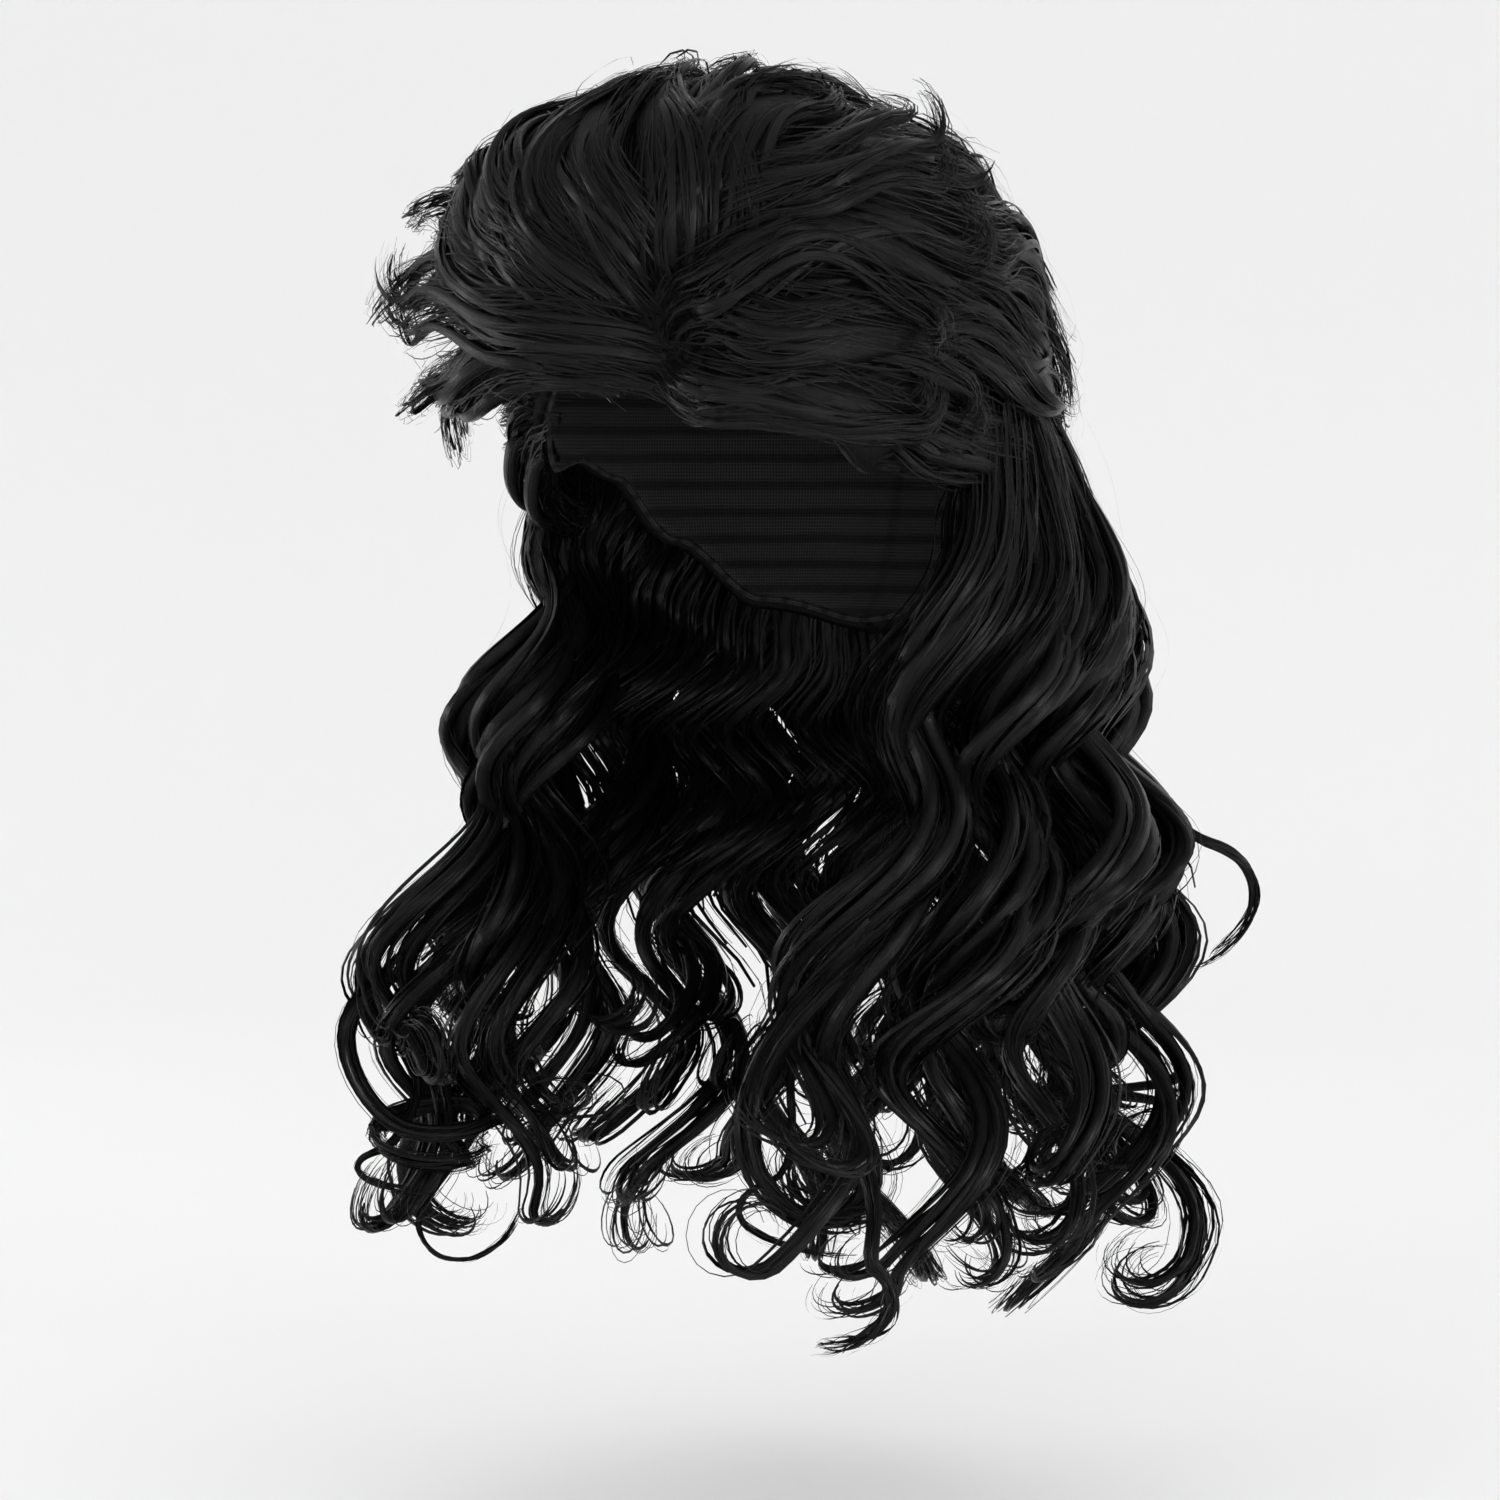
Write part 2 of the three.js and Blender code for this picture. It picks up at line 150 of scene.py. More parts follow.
# %% [markdown]
# The floor is one pale sheet that bends up all round, as paper does in a studio. A plane and a wall
# would be simpler, but the line between them would show behind the curls. So we lay a flat disc, and
# climb from its rim in rings along a quarter circle.

# %% Floor
FLOOR_STEPS = 64
FLAT_RADIUS, BEND_RADIUS, BEND_STEPS = 1.6, 3.2, 16
FLOOR_GREY = 0.93
FLOOR_ROUGHNESS = 0.9

floor_z = cad_low.z - FLOOR_BELOW_WIG
floor_points = []
for step in range(BEND_STEPS + 1):
    bend = math.pi / 2 * step / BEND_STEPS
    radius = FLAT_RADIUS + BEND_RADIUS * math.sin(bend)
    height = floor_z + BEND_RADIUS * (1 - math.cos(bend))
    for i in range(FLOOR_STEPS):
        turn = 2 * math.pi * i / FLOOR_STEPS
        floor_points.append((radius * math.cos(turn), radius * math.sin(turn), height))
floor_faces = [tuple(range(FLOOR_STEPS))]
for step in range(BEND_STEPS):
    for i in range(FLOOR_STEPS):
        j = (i + 1) % FLOOR_STEPS
        low, high = step * FLOOR_STEPS, (step + 1) * FLOOR_STEPS
        floor_faces.append((low + j, low + i, high + i, high + j))
floor_mesh = bpy.data.meshes.new("floor")
floor_mesh.from_pydata(floor_points, [], floor_faces)
floor_mesh.shade_smooth()
floor = bpy.data.objects.new("floor", floor_mesh)
bpy.context.scene.collection.objects.link(floor)
floor_paint, nodes, links = node_material("pale_floor")
nodes["Principled BSDF"].inputs["Base Color"].default_value = (FLOOR_GREY, FLOOR_GREY, FLOOR_GREY, 1)
nodes["Principled BSDF"].inputs["Roughness"].default_value = FLOOR_ROUGHNESS
floor_mesh.materials.append(floor_paint)
floor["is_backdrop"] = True
print("floor at", round(floor_z / MM), "mm")

# %% [markdown]
# Every piece of the wig is measured over the form that the cap fits: degrees round from the middle of
# the brow, degrees up from the ear line, and metres out from that form. These sizes are the ones that
# the solid model is built from. Working with whole arrays of places at once keeps thousands of hairs
# quick to make.

# %% Cap and hair sizes
HEAD_BREADTH = 156 * MM
HEAD_LENGTH = 196 * MM
CROWN_HEIGHT = 98 * MM
CAP_WALL = 1.5 * MM
CLEARANCE = 0.4 * MM
UNDER_HAIR_RISE = 38 * MM
HAIR_RISE = 56 * MM
SHORT_LOCK_WIDTH = 48 * MM
SHORT_LOCK_THICKNESS = 24 * MM
SHORT_WAVE = 8 * MM
TAIL_DROP = 345 * MM
TAIL_HALF_WIDTH = 128 * MM
TAIL_HALF_DEPTH = 132 * MM
LONG_LOCK_WIDTH = 38 * MM
LONG_LOCK_THICKNESS = 24 * MM
LONG_WAVE = 16 * MM
CURL_TIGHTENING = 1.25
LONG_ROOT_RISE = 0.38
SHOULDER_BELOW_ROOT = 34
HANGS_FROM = 0.5
WAVE_STARTS, WAVE_IS_FULL = 0.05, 0.55
HEAD_MIDDLE = np.array([0, 0, -CROWN_HEIGHT])
HEAD_RADII = np.array([HEAD_BREADTH / 2, HEAD_LENGTH / 2, CROWN_HEIGHT])


def over_head(around, level, out):
    a, l, out = np.radians(around), np.radians(level), np.asarray(out)
    return np.stack([
        (HEAD_RADII[0] + out) * np.cos(l) * np.sin(a),
        -(HEAD_RADII[1] + out) * np.cos(l) * np.cos(a),
        (HEAD_RADII[2] + out) * np.sin(l) - CROWN_HEIGHT,
    ], axis=-1)


def unit(vectors):
    return vectors / np.maximum(np.linalg.norm(vectors, axis=-1, keepdims=True), 1e-12)


def out_from_head(points):
    return unit((points - HEAD_MIDDLE) / HEAD_RADII ** 2)


def kept_outside_head(points, gap=2.2 * MM):
    """Hair lies on the cap, so points inside its form are pushed out to it."""
    share = np.linalg.norm((points - HEAD_MIDDLE) / (HEAD_RADII + gap), axis=-1, keepdims=True)
    return np.where(share < 1, HEAD_MIDDLE + (points - HEAD_MIDDLE) / np.maximum(share, 0.2), points)


print("form of the cap in mm:", np.round(2 * HEAD_RADII / MM))

# %% [markdown]
# A lock of the short hair runs over three stations, its root, crest and tip. At each it has degrees
# round, degrees up and a share of the hair's full height. One row of the table is one lock, and the
# five sections are the pieces of the wig. A short table is easier to comb again than drawn curves.

# %% Short hair table
SHORT_LOCKS = {
    "quiff_right": [
        dict(around=(8, -34, -70), level=(23, 17, 9), rise=(0.16, 0.7, 1.12), width=0.8, wave=0.5,
             waves=1),
        dict(around=(7, -36, -70), level=(28, 26, 20), rise=(0.3, 0.96, 1.44), width=0.9, wave=-0.6,
             waves=1),
        dict(around=(5, -40, -72), level=(34, 39, 34), rise=(0.4, 1.08, 1.44), width=1, wave=0.6,
             waves=1.5),
        dict(around=(3, -46, -88), level=(41, 52, 49), rise=(0.46, 1.12, 1.3), width=1, wave=-0.6,
             waves=1),
        dict(around=(0, -46, -116), level=(48, 68, 66), rise=(0.5, 1.02, 1), width=1.05, wave=0.6,
             waves=1.5),
    ],
    "quiff_left": [
        dict(around=(14, 46, 86), level=(23, 12, -1), rise=(0.14, 0.42, 0.5), width=0.76, wave=0.6,
             waves=1),
        dict(around=(14, 48, 96), level=(29, 25, 11), rise=(0.28, 0.6, 0.62), width=0.9, wave=-0.8,
             waves=1.5),
        dict(around=(13, 50, 104), level=(36, 38, 26), rise=(0.4, 0.78, 0.76), width=1, wave=0.8,
             waves=1.5),
        dict(around=(11, 50, 110), level=(43, 53, 43), rise=(0.46, 0.94, 1.02), width=1.05,
             wave=-0.7, waves=1.5),
        dict(around=(8, 36, 130), level=(52, 75, 66), rise=(0.5, 0.96, 0.94), width=1.1, wave=0.6,
             waves=1),
    ],
    "side_right": [
        dict(around=(-46, -70, -92), level=(12, -1, -12), rise=(0.18, 0.36, 0.46), width=0.74,
             wave=0.5, waves=1),
        dict(around=(-56, -82, -110), level=(16, 10, 0), rise=(0.3, 0.56, 0.62), width=0.9,
             wave=-0.6, waves=1),
        dict(around=(-74, -96, -124), level=(30, 26, 16), rise=(0.6, 0.8, 0.76), width=1, wave=0.6,
             waves=1),
        dict(around=(-86, -106, -130), level=(46, 42, 32), rise=(0.8, 0.92, 0.86), width=1,
             wave=-0.6, waves=1),
    ],
    "side_left": [
        dict(around=(70, 92, 116), level=(12, 2, -12), rise=(0.36, 0.54, 0.6), width=0.86, wave=0.7,
             waves=1),
        dict(around=(82, 104, 126), level=(28, 16, -2), rise=(0.6, 0.72, 0.7), width=1.05,
             wave=-0.8, waves=1.5),
        dict(around=(90, 114, 132), level=(44, 33, 14), rise=(0.78, 0.86, 0.8), width=1.1, wave=0.7,
             waves=1.5),
    ],
    "crown_layers": [
        dict(around=(240, 232, 220), level=(66, 42, 4), rise=(0.9, 0.88, 0.7), width=1.1, wave=-0.6,
             waves=1.5),
        dict(around=(214, 212, 200), level=(74, 42, -6), rise=(0.92, 0.88, 0.66), width=1.15,
             wave=0.7, waves=1.5),
        dict(around=(188, 190, 182), level=(80, 44, -10), rise=(0.94, 0.88, 0.64), width=1.15,
             wave=-0.7, waves=1.5),
        dict(around=(172, 166, 162), level=(78, 45, -8), rise=(0.94, 0.9, 0.66), width=1.15,
             wave=0.7, waves=1.5),
        dict(around=(146, 146, 144), level=(72, 44, -4), rise=(0.92, 0.9, 0.7), width=1.15,
             wave=-0.7, waves=1.5),
        dict(around=(120, 128, 134), level=(64, 50, 20), rise=(0.92, 0.94, 0.84), width=1, wave=0.6,
             waves=1),
    ],
}

print(sum(len(rows) for rows in SHORT_LOCKS.values()), "short locks")

# %% [markdown]
# Each row here is one long lock of the tail: where it leaves the cap, how far aside and behind its tip
# hangs and how far it falls, as shares of the tail's sizes, how much it swells at the shoulder, and
# the degrees at which its winding starts and the turns that it makes.

# %% Tail table
LONG_LOCKS = {
    "lock_left_1": dict(around=96, level=12, aside=0.52, behind=-0.62, fall=0.99, swell=0.16,
         start=250, turns=3),
    "lock_left_2": dict(around=108, level=12, aside=0.8, behind=-0.32, fall=0.92, swell=0.36,
         start=230, turns=3),
    "lock_left_3": dict(around=120, level=12, aside=0.98, behind=0.06, fall=0.86, swell=0.46,
         start=200, turns=3),
    "lock_left_4": dict(around=133, level=11, aside=0.98, behind=0.48, fall=0.9, swell=0.42,
         start=170, turns=3.2),
    "lock_back_1": dict(around=146, level=10, aside=0.82, behind=0.8, fall=0.97, swell=0.34,
         start=150, turns=3.3),
    "lock_back_2": dict(around=159, level=10, aside=0.48, behind=0.95, fall=1, swell=0.32,
         start=130, turns=3.4),
    "lock_back_3": dict(around=173, level=10, aside=0.14, behind=1, fall=0.97, swell=0.32,
         start=100, turns=3.3),
    "lock_back_4": dict(around=187, level=10, aside=-0.2, behind=0.99, fall=1, swell=0.32, start=70,
         turns=3.4),
    "lock_back_5": dict(around=201, level=10, aside=-0.54, behind=0.88, fall=0.96, swell=0.32,
         start=40, turns=3.3),
    "lock_right_5": dict(around=215, level=10, aside=-0.82, behind=0.62, fall=0.9, swell=0.36,
         start=10, turns=3.2),
    "lock_right_4": dict(around=228, level=11, aside=-0.98, behind=0.24, fall=0.85, swell=0.3,
         start=-20, turns=3),
    "lock_right_3": dict(around=240, level=12, aside=-1, behind=-0.2, fall=0.84, swell=0.18,
         start=-50, turns=3.1),
    "lock_right_2": dict(around=252, level=12, aside=-0.94, behind=-0.62, fall=0.88, swell=0.1,
         start=-70, turns=3.2),
    "lock_right_1": dict(around=264, level=12, aside=-0.64, behind=-0.46, fall=0.84, swell=0.08,
         start=-90, turns=3),
}
print(len(LONG_LOCKS), "long locks")

# %% [markdown]
# The simplest line that bends over the cap is a smooth one through root, crest and tip, so that is
# what a short lock follows. It also waves from side to side. Two directions across it, sideways and
# outwards, give us a place to spread its hair over.

# %% Lines of the short hair
def smooth(t, start, end):
    share = np.clip((t - start) / (end - start), 0, 1)
    return share * share * (3 - 2 * share)


def stations(values, t):
    """A smooth value through root, crest and tip. Values may be arrays, one per strand."""
    root, crest, tip = values
    return root * (1 - t) * (1 - 2 * t) + crest * 4 * t * (1 - t) + tip * t * (2 * t - 1)


def short_line(row, t):
    out = CAP_WALL + HAIR_RISE * stations(row["rise"], t) - SHORT_LOCK_THICKNESS / 2
    return over_head(stations(row["around"], t), stations(row["level"], t), out)


def directions(line, t, step=0.004):
    return unit(line(t + step) - line(t - step))


def short_frame(row, t, shift=0):
    """The middle of a short lock with its across and outward directions. shift moves its waves."""
    middle, along = short_line(row, t), directions(lambda at: short_line(row, at), t)
    across = unit(np.cross(along, out_from_head(middle)))
    wound = 2 * np.pi * np.asarray(row["waves"]) * t + np.radians(shift) * smooth(t, 0, 0.4)
    swing = SHORT_WAVE * np.asarray(row["wave"]) * np.sin(wound)
    return middle + across * swing[..., None], across, np.cross(across, along)


probe, _, _ = short_frame(SHORT_LOCKS["quiff_right"][0], np.array([0.0, 0.5, 1.0]))
print("first short lock's root, crest and tip in mm:", np.round(probe / MM).tolist())

# %% [markdown]
# A long lock leaves the cap, swings out over the shoulder line and hangs, so its line is a smooth
# curve with four points. A ringlet winds round that line, faster towards its tip, which a straight
# tube with a wave in it would not show. The directions across it stay with the line, not the winding.

# %% Lines of the tail
def fall_line(row, t):
    root_out = CAP_WALL + HAIR_RISE * row.get("root_rise", LONG_ROOT_RISE)
    shoulder_out = root_out + TAIL_HALF_WIDTH * np.asarray(row["swell"])
    shoulder_level = np.asarray(row["level"]) - row.get("shoulder", SHOULDER_BELOW_ROOT)
    a, b = TAIL_HALF_WIDTH * np.asarray(row["aside"]), TAIL_HALF_DEPTH * np.asarray(row["behind"])
    drop = TAIL_DROP * np.asarray(row["fall"])
    p0 = over_head(row["around"], row["level"], root_out)
    p1 = over_head(row["around"], shoulder_level, shoulder_out)
    p2 = np.stack([a, b, -CROWN_HEIGHT - drop * HANGS_FROM], axis=-1)
    p3 = np.stack([a, b, -CROWN_HEIGHT - drop], axis=-1)
    s = t[..., None]
    return p0 * (1 - s) ** 3 + 3 * p1 * s * (1 - s) ** 2 + 3 * p2 * s ** 2 * (1 - s) + p3 * s ** 3


def outward_of(row):
    turned = np.radians(row["around"])
    return np.stack([np.sin(turned), -np.cos(turned), 0 * turned], axis=-1)


def long_line(row, t, shift=0):
    outward = outward_of(row)
    sideways = np.stack([-outward[..., 1], outward[..., 0], outward[..., 2]], axis=-1)
    wound = np.maximum(t, 0) ** CURL_TIGHTENING
    angle = np.radians(row["start"] + shift + 360 * np.asarray(row["turns"]) * wound)[..., None]
    radius = (LONG_WAVE * smooth(t, WAVE_STARTS, WAVE_IS_FULL))[..., None]
    return fall_line(row, t) + radius * (sideways * np.cos(angle) + outward * np.sin(angle))


def long_frame(row, t, shift=0):
    """The winding middle of a long lock, with directions that don't wind with it."""
    along = directions(lambda at: fall_line(row, at), t)
    across = unit(np.cross(along, np.broadcast_to(outward_of(row), along.shape)))
    return long_line(row, t, shift), across, np.cross(across, along)


probe = long_line(LONG_LOCKS["lock_left_1"], np.array([0.0, 0.5, 1.0]))
print("lock_left_1 root, middle and tip in mm:", np.round(probe / MM).tolist())

# %% [markdown]
# A fibre is far too thin to model one by one for a whole wig, so three kinds share the work: a core
# painted a darker black as shade fills each clump, wisps of some dozens of fibres stand on it, and
# single fibres as fine ribbons catch the light and fray the outline. All of a lock's strands are
# gathered into one mesh. Each point remembers how far along and across its strand it is, so that
# the grain can run along the hair.

# %% Gather swept strands into one mesh
class Bundle:
    """Collects swept strands as arrays, to be made into one mesh."""

    def __init__(self):
        self.points, self.corners, self.sizes, self.grain, self.tones = [], [], [], [], []
        self.count = 0

    def add(self, points, faces, grain, tones):
        self.points.append(points.reshape(-1, 3))
        for face in faces:
            self.corners.append((face + self.count).reshape(-1))
            self.sizes.append(np.full(face.reshape(-1, face.shape[-1]).shape[0], face.shape[-1]))
        self.grain.append(grain.reshape(-1, 2))
        self.tones.append(tones.reshape(-1))
        self.count += points.reshape(-1, 3).shape[0]

    def triangles(self):
        return int(sum((sizes - 2).sum() for sizes in self.sizes))


def run_length(paths):
    steps = np.linalg.norm(np.diff(paths, axis=1), axis=-1)
    return np.concatenate([np.zeros((len(paths), 1)), np.cumsum(steps, axis=1)], axis=1)


print("triangles in an empty bundle:", Bundle().triangles())

# %% [markdown]
# Fibres and wisps are open strips. A fibre is flat, and a wisp is folded like a low roof, so that it
# catches light on one slope and shade on the other. A closed tube would need three times the faces
# for the same look. Each strip turns its broad side away from the middle of its own curl.

# %% Strips
FLAT = ((-1, 0), (1, 0))
ROOFED = ((-1, -0.4), (0, 0.4), (1, -0.4))
LOW_ROOF = ((-1, -0.2), (0, 0.15), (1, -0.2))
GRAIN_BETWEEN_STRIPS = 7.3


def add_strips(bundle, paths, centres, half_widths, profile, tones):
    """Open strips, flat or roofed, whose broad side looks away from the given centres."""
    n, k, m = len(paths), paths.shape[1], len(profile)
    aside, above = np.array(profile, float).T
    along = unit(np.gradient(paths, axis=1))
    side = unit(np.cross(along, paths - centres + 1e-9))
    facing = np.cross(side, along)
    wide = half_widths[..., None, None]
    shape = side[:, :, None] * aside[:, None] + facing[:, :, None] * above[:, None]
    points = paths[:, :, None] + wide * shape
    index = np.arange(n * k * m).reshape(n, k, m)
    corners = [index[:, :-1, :-1], index[:, :-1, 1:], index[:, 1:, 1:], index[:, 1:, :-1]]
    quads = np.stack(corners, axis=-1)
    grain = np.zeros((n, k, m, 2))
    first = np.arange(n)[:, None, None] * GRAIN_BETWEEN_STRIPS
    grain[..., 0] = first + aside * half_widths[..., None] / MM
    grain[..., 1] = run_length(paths)[:, :, None] / MM
    bundle.add(points, [quads], grain, np.broadcast_to(tones[:, None, None], (n, k, m)))


print("strips have", len(FLAT) - 1, "or", len(ROOFED) - 1, "faces across")

# %% [markdown]
# The dark core of a clump and the hem of the cap have a real thickness, so they are closed tubes of
# oval section. A tube needs two directions across its path. On a curl these may not flip over, so we
# carry the last pair along and straighten it a little at each step.

# %% Tubes
GRAIN_BETWEEN_TUBES = 31.7


def add_tubes(bundle, paths, across, outward, half_widths, half_depths, sides, tones):
    """Closed strands of oval section."""
    n, k = paths.shape[:2]
    turn = 2 * np.pi * np.arange(sides) / sides
    points = (
        paths[:, :, None]
        + across[:, :, None] * (half_widths[..., None] * np.cos(turn))[..., None]
        + outward[:, :, None] * (half_depths[..., None] * np.sin(turn))[..., None]
    )
    index = np.arange(n * k * sides).reshape(n, k, sides)
    after = np.roll(index, -1, axis=2)
    quads = np.stack([index[:, :-1], after[:, :-1], after[:, 1:], index[:, 1:]], axis=-1)
    grain = np.zeros((n, k, sides, 2))
    folded = np.abs(np.pi - turn)
    first = np.arange(n)[:, None, None] * GRAIN_BETWEEN_TUBES
    grain[..., 0] = first + folded * half_widths[..., None] / MM
    grain[..., 1] = run_length(paths)[:, :, None] / MM
    ends = [index[:, 0, ::-1], index[:, -1]]
    bundle.add(points, [quads, *ends], grain, np.broadcast_to(tones[:, None, None], (n, k, sides)))


def round_frame(paths):
    """Two directions across each path that turn as little as they can along it."""
    along = unit(np.gradient(paths, axis=1))
    first = np.zeros_like(paths)
    first[:, 0] = unit(np.cross(along[:, 0], (0.31, 0.9, 0.3)))
    for step in range(1, paths.shape[1]):
        before, now = first[:, step - 1], along[:, step]
        first[:, step] = unit(before - now * (before * now).sum(axis=-1, keepdims=True))
    return first, np.cross(first, along)


curl_path = long_line(LONG_LOCKS["lock_left_1"], np.linspace(0, 1, 25))[None]
first_way = round_frame(curl_path)[0][0]
steadiness = (first_way[1:] * first_way[:-1]).sum(axis=-1).min()
print("directions along a curl turn by at most", round(math.degrees(math.acos(steadiness))), "degrees a step")

# %% [markdown]
# One bundle becomes one piece of the wig. It rides on the wig's only body, replaces the solid of the
# same lock and says which fibre it is made of. Blender takes the arrays as they are, which is much
# faster than making faces one by one.

# %% Make one piece
def make_piece(name, bundle, material, replaced):
    mesh = bpy.data.meshes.new(name)
    points = np.concatenate(bundle.points).astype(np.float32)
    corners = np.concatenate(bundle.corners).astype(np.int32)
    sizes = np.concatenate(bundle.sizes).astype(np.int32)
    mesh.vertices.add(len(points))
    mesh.vertices.foreach_set("co", points.ravel())
    mesh.loops.add(len(corners))
    mesh.loops.foreach_set("vertex_index", corners)
    mesh.polygons.add(len(sizes))
    starts = np.concatenate([[0], np.cumsum(sizes)[:-1]]).astype(np.int32)
    mesh.polygons.foreach_set("loop_start", starts)
    mesh.polygons.foreach_set("use_smooth", np.ones(len(sizes), bool))
    mesh.update(calc_edges=True)
    grain = np.concatenate(bundle.grain).astype(np.float32)
    mesh.uv_layers.new(name="grain").data.foreach_set("uv", grain[corners].ravel())
    tone = mesh.attributes.new("tone", "FLOAT", "POINT")
    tone.data.foreach_set("value", np.concatenate(bundle.tones).astype(np.float32))
    mesh.materials.append(material)
    piece = bpy.data.objects.new(name, mesh)
    bpy.context.scene.collection.objects.link(piece)
    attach(piece, "root")
    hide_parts(replaced)
    print(name, "-", bundle.triangles(), "triangles")
    return piece


# %% [markdown]
# The fibre is glossy black plastic. Along a hair it is smooth and across it is round, so highlights
# stretch across the locks in bands: that is what anisotropy does when its tangent runs across the
# grain. Fine noise, drawn out along the hair, gives the cores their combed relief, and every strand
# has a slightly different black, as real fibres and their shadows do.

# %% Hair finish
STRETCHED_HIGHLIGHTS = 0.7
FIBRE_SHINE = 0.11
GRAIN_SCALE = (1.6, 0.03, 1)
RELIEF_DEPTH = 0.8 * MM
ROUGHNESS_SPREAD = (-0.07, 0.1)


def hair_material(name, deep, pale, roughness, relief):
    """deep and pale are the blacks of the darkest and lightest fibres."""
    material, nodes, links = node_material(name)
    shader = nodes["Principled BSDF"]
    shader.inputs["Anisotropic"].default_value = STRETCHED_HIGHLIGHTS
    shader.inputs["Specular IOR Level"].default_value = FIBRE_SHINE
    tangent = nodes.new("ShaderNodeTangent")
    tangent.direction_type = "UV_MAP"
    tangent.uv_map = "grain"
    links.new(tangent.outputs["Tangent"], shader.inputs["Tangent"])

    grain = nodes.new("ShaderNodeUVMap")
    grain.uv_map = "grain"
    stretch = nodes.new("ShaderNodeMapping")
    stretch.inputs["Scale"].default_value = GRAIN_SCALE
    links.new(grain.outputs["UV"], stretch.inputs["Vector"])
    combed = nodes.new("ShaderNodeTexNoise")
    combed.inputs["Scale"].default_value = 1
    combed.inputs["Detail"].default_value = 4
    combed.inputs["Roughness"].default_value = 0.65
    links.new(stretch.outputs["Vector"], combed.inputs["Vector"])

    bump = nodes.new("ShaderNodeBump")
    bump.inputs["Strength"].default_value = relief
    bump.inputs["Distance"].default_value = RELIEF_DEPTH
    links.new(combed.outputs["Fac"], bump.inputs["Height"])
    links.new(bump.outputs["Normal"], shader.inputs["Normal"])

    tone = nodes.new("ShaderNodeAttribute")
    tone.attribute_name = "tone"
    mixed = nodes.new("ShaderNodeMath")
    mixed.operation = "MULTIPLY"
    links.new(tone.outputs["Fac"], mixed.inputs[0])
    links.new(combed.outputs["Fac"], mixed.inputs[1])
    blacks = nodes.new("ShaderNodeValToRGB")
    blacks.color_ramp.elements[0].color = (*deep, 1)
    blacks.color_ramp.elements[1].color = (*pale, 1)
    blacks.color_ramp.elements[1].position = 0.7
    links.new(mixed.outputs["Value"], blacks.inputs["Fac"])
    links.new(blacks.outputs["Color"], shader.inputs["Base Color"])

    gloss = nodes.new("ShaderNodeMapRange")
    gloss.inputs["To Min"].default_value = roughness + ROUGHNESS_SPREAD[0]
    gloss.inputs["To Max"].default_value = roughness + ROUGHNESS_SPREAD[1]
    links.new(combed.outputs["Fac"], gloss.inputs["Value"])
    links.new(gloss.outputs["Result"], shader.inputs["Roughness"])
    return material


black_fibre = hair_material(
    "black_fibre", deep=(0.0028, 0.0026, 0.0027), pale=(0.0074, 0.0068, 0.0069), roughness=0.27, relief=0.6
)
under_fibre = hair_material(
    "under_fibre", deep=(0.002, 0.002, 0.002), pale=(0.006, 0.0056, 0.0056), roughness=0.55, relief=0.9
)
print("hair finishes:", black_fibre.name, under_fibre.name)

# %% [markdown]
# No two fibres lie alike. Each wanders off its clump by a sum of slow waves with its own phases,
# little at the root and more towards the tip. All chance comes from one seeded source, so the wig
# combs out the same each time.

# %% Wandering fibres
rng = np.random.default_rng(11)


def wander(t, size, slowest=1.0, waves=3):
    """Smooth random drift, one line per strand, of about the given size."""
    n = len(t)
    drift = np.zeros(t.shape)
    for wave in range(waves):
        pace = slowest * (wave + rng.uniform(0.6, 1.4, (n, 1)))
        phase = rng.uniform(0, 2 * np.pi, (n, 1))
        drift += np.sin(2 * np.pi * pace * t + phase) / (wave + 1)
    return drift * size


def run(n, k, start, end, bunching=1.0):
    """k places along each of n strands, closer together towards the tip when bunching is under 1."""
    start, end = np.broadcast_to(start, n)[:, None], np.broadcast_to(end, n)[:, None]
    return start + (end - start) * np.linspace(0, 1, k)[None, :] ** bunching


def thinning(k, root=0.5, tip=0.12, bluntness=2.2):
    """A strand's width along it: quickly full, then thinning to a point."""
    s = np.linspace(0, 1, k)[None, :]
    return (root + (1 - root) * smooth(s, 0, 0.12)) * (tip + (1 - tip) * (1 - s ** bluntness))


def mix(first, second, share):
    return first + (second - first) * share


print("a strand's widths:", np.round(thinning(5), 2).tolist())

# %% [markdown]
# A lock isn't one curl: it has a few families of clumps. Clumps of one family wind nearly together, and
# families differ in how far, how fast and which way they wind and in where they end. That is what
# makes locks look alike but never the same, so chance draws each value between two limits of a style.

# %% Clumps of a lock
def make_clumps(count, style):
    """One value for each clump of a lock. Neighbouring clumps of a family curl nearly together."""
    turned = 2 * np.pi * (np.arange(count) + rng.uniform(-0.25, 0.25, count)) / count
    spread = rng.uniform(*style["spread"], count)
    families = style["families"]
    hook_side = rng.uniform(*style["hook_side"], families)
    hook_side = np.where(rng.uniform(0, 1, families) < 0.5, hook_side, 180 - hook_side)
    family = np.arange(count) * families // count
    handed = np.where(rng.uniform(0, 1, families) < style["reversed"], -1, 1)
    turns = rng.uniform(*style["turns"], families) * handed
    phase = rng.uniform(0, 2 * np.pi) + rng.uniform(-np.pi, np.pi, families) * style["out_of_step"]
    ends = np.linspace(*style["ends"], families)[rng.permutation(families)]
    return {
        "aside": spread * np.cos(turned),
        "above": spread * np.sin(turned) * style["layering"],
        "radius": rng.uniform(*style["radius"], families)[family] * MM,
        "turns": turns[family] * rng.normal(1, 0.02, count),
        "phase": phase[family] + rng.normal(0, style["phase_spread"], count),
        "tilt_phase": rng.uniform(0, 2 * np.pi, families)[family],
        "shift": rng.uniform(-1, 1, families)[family] * style["wave_shift"],
        "end": ends[family] + rng.uniform(-0.03, 0.02, count),
        "hook_radius": rng.uniform(*style["hook_radius"], families)[family] * MM,
        "hook_turn": np.radians(rng.uniform(*style["hook_turn"], families))[family],
        "hook_side": np.radians(hook_side)[family],
    }


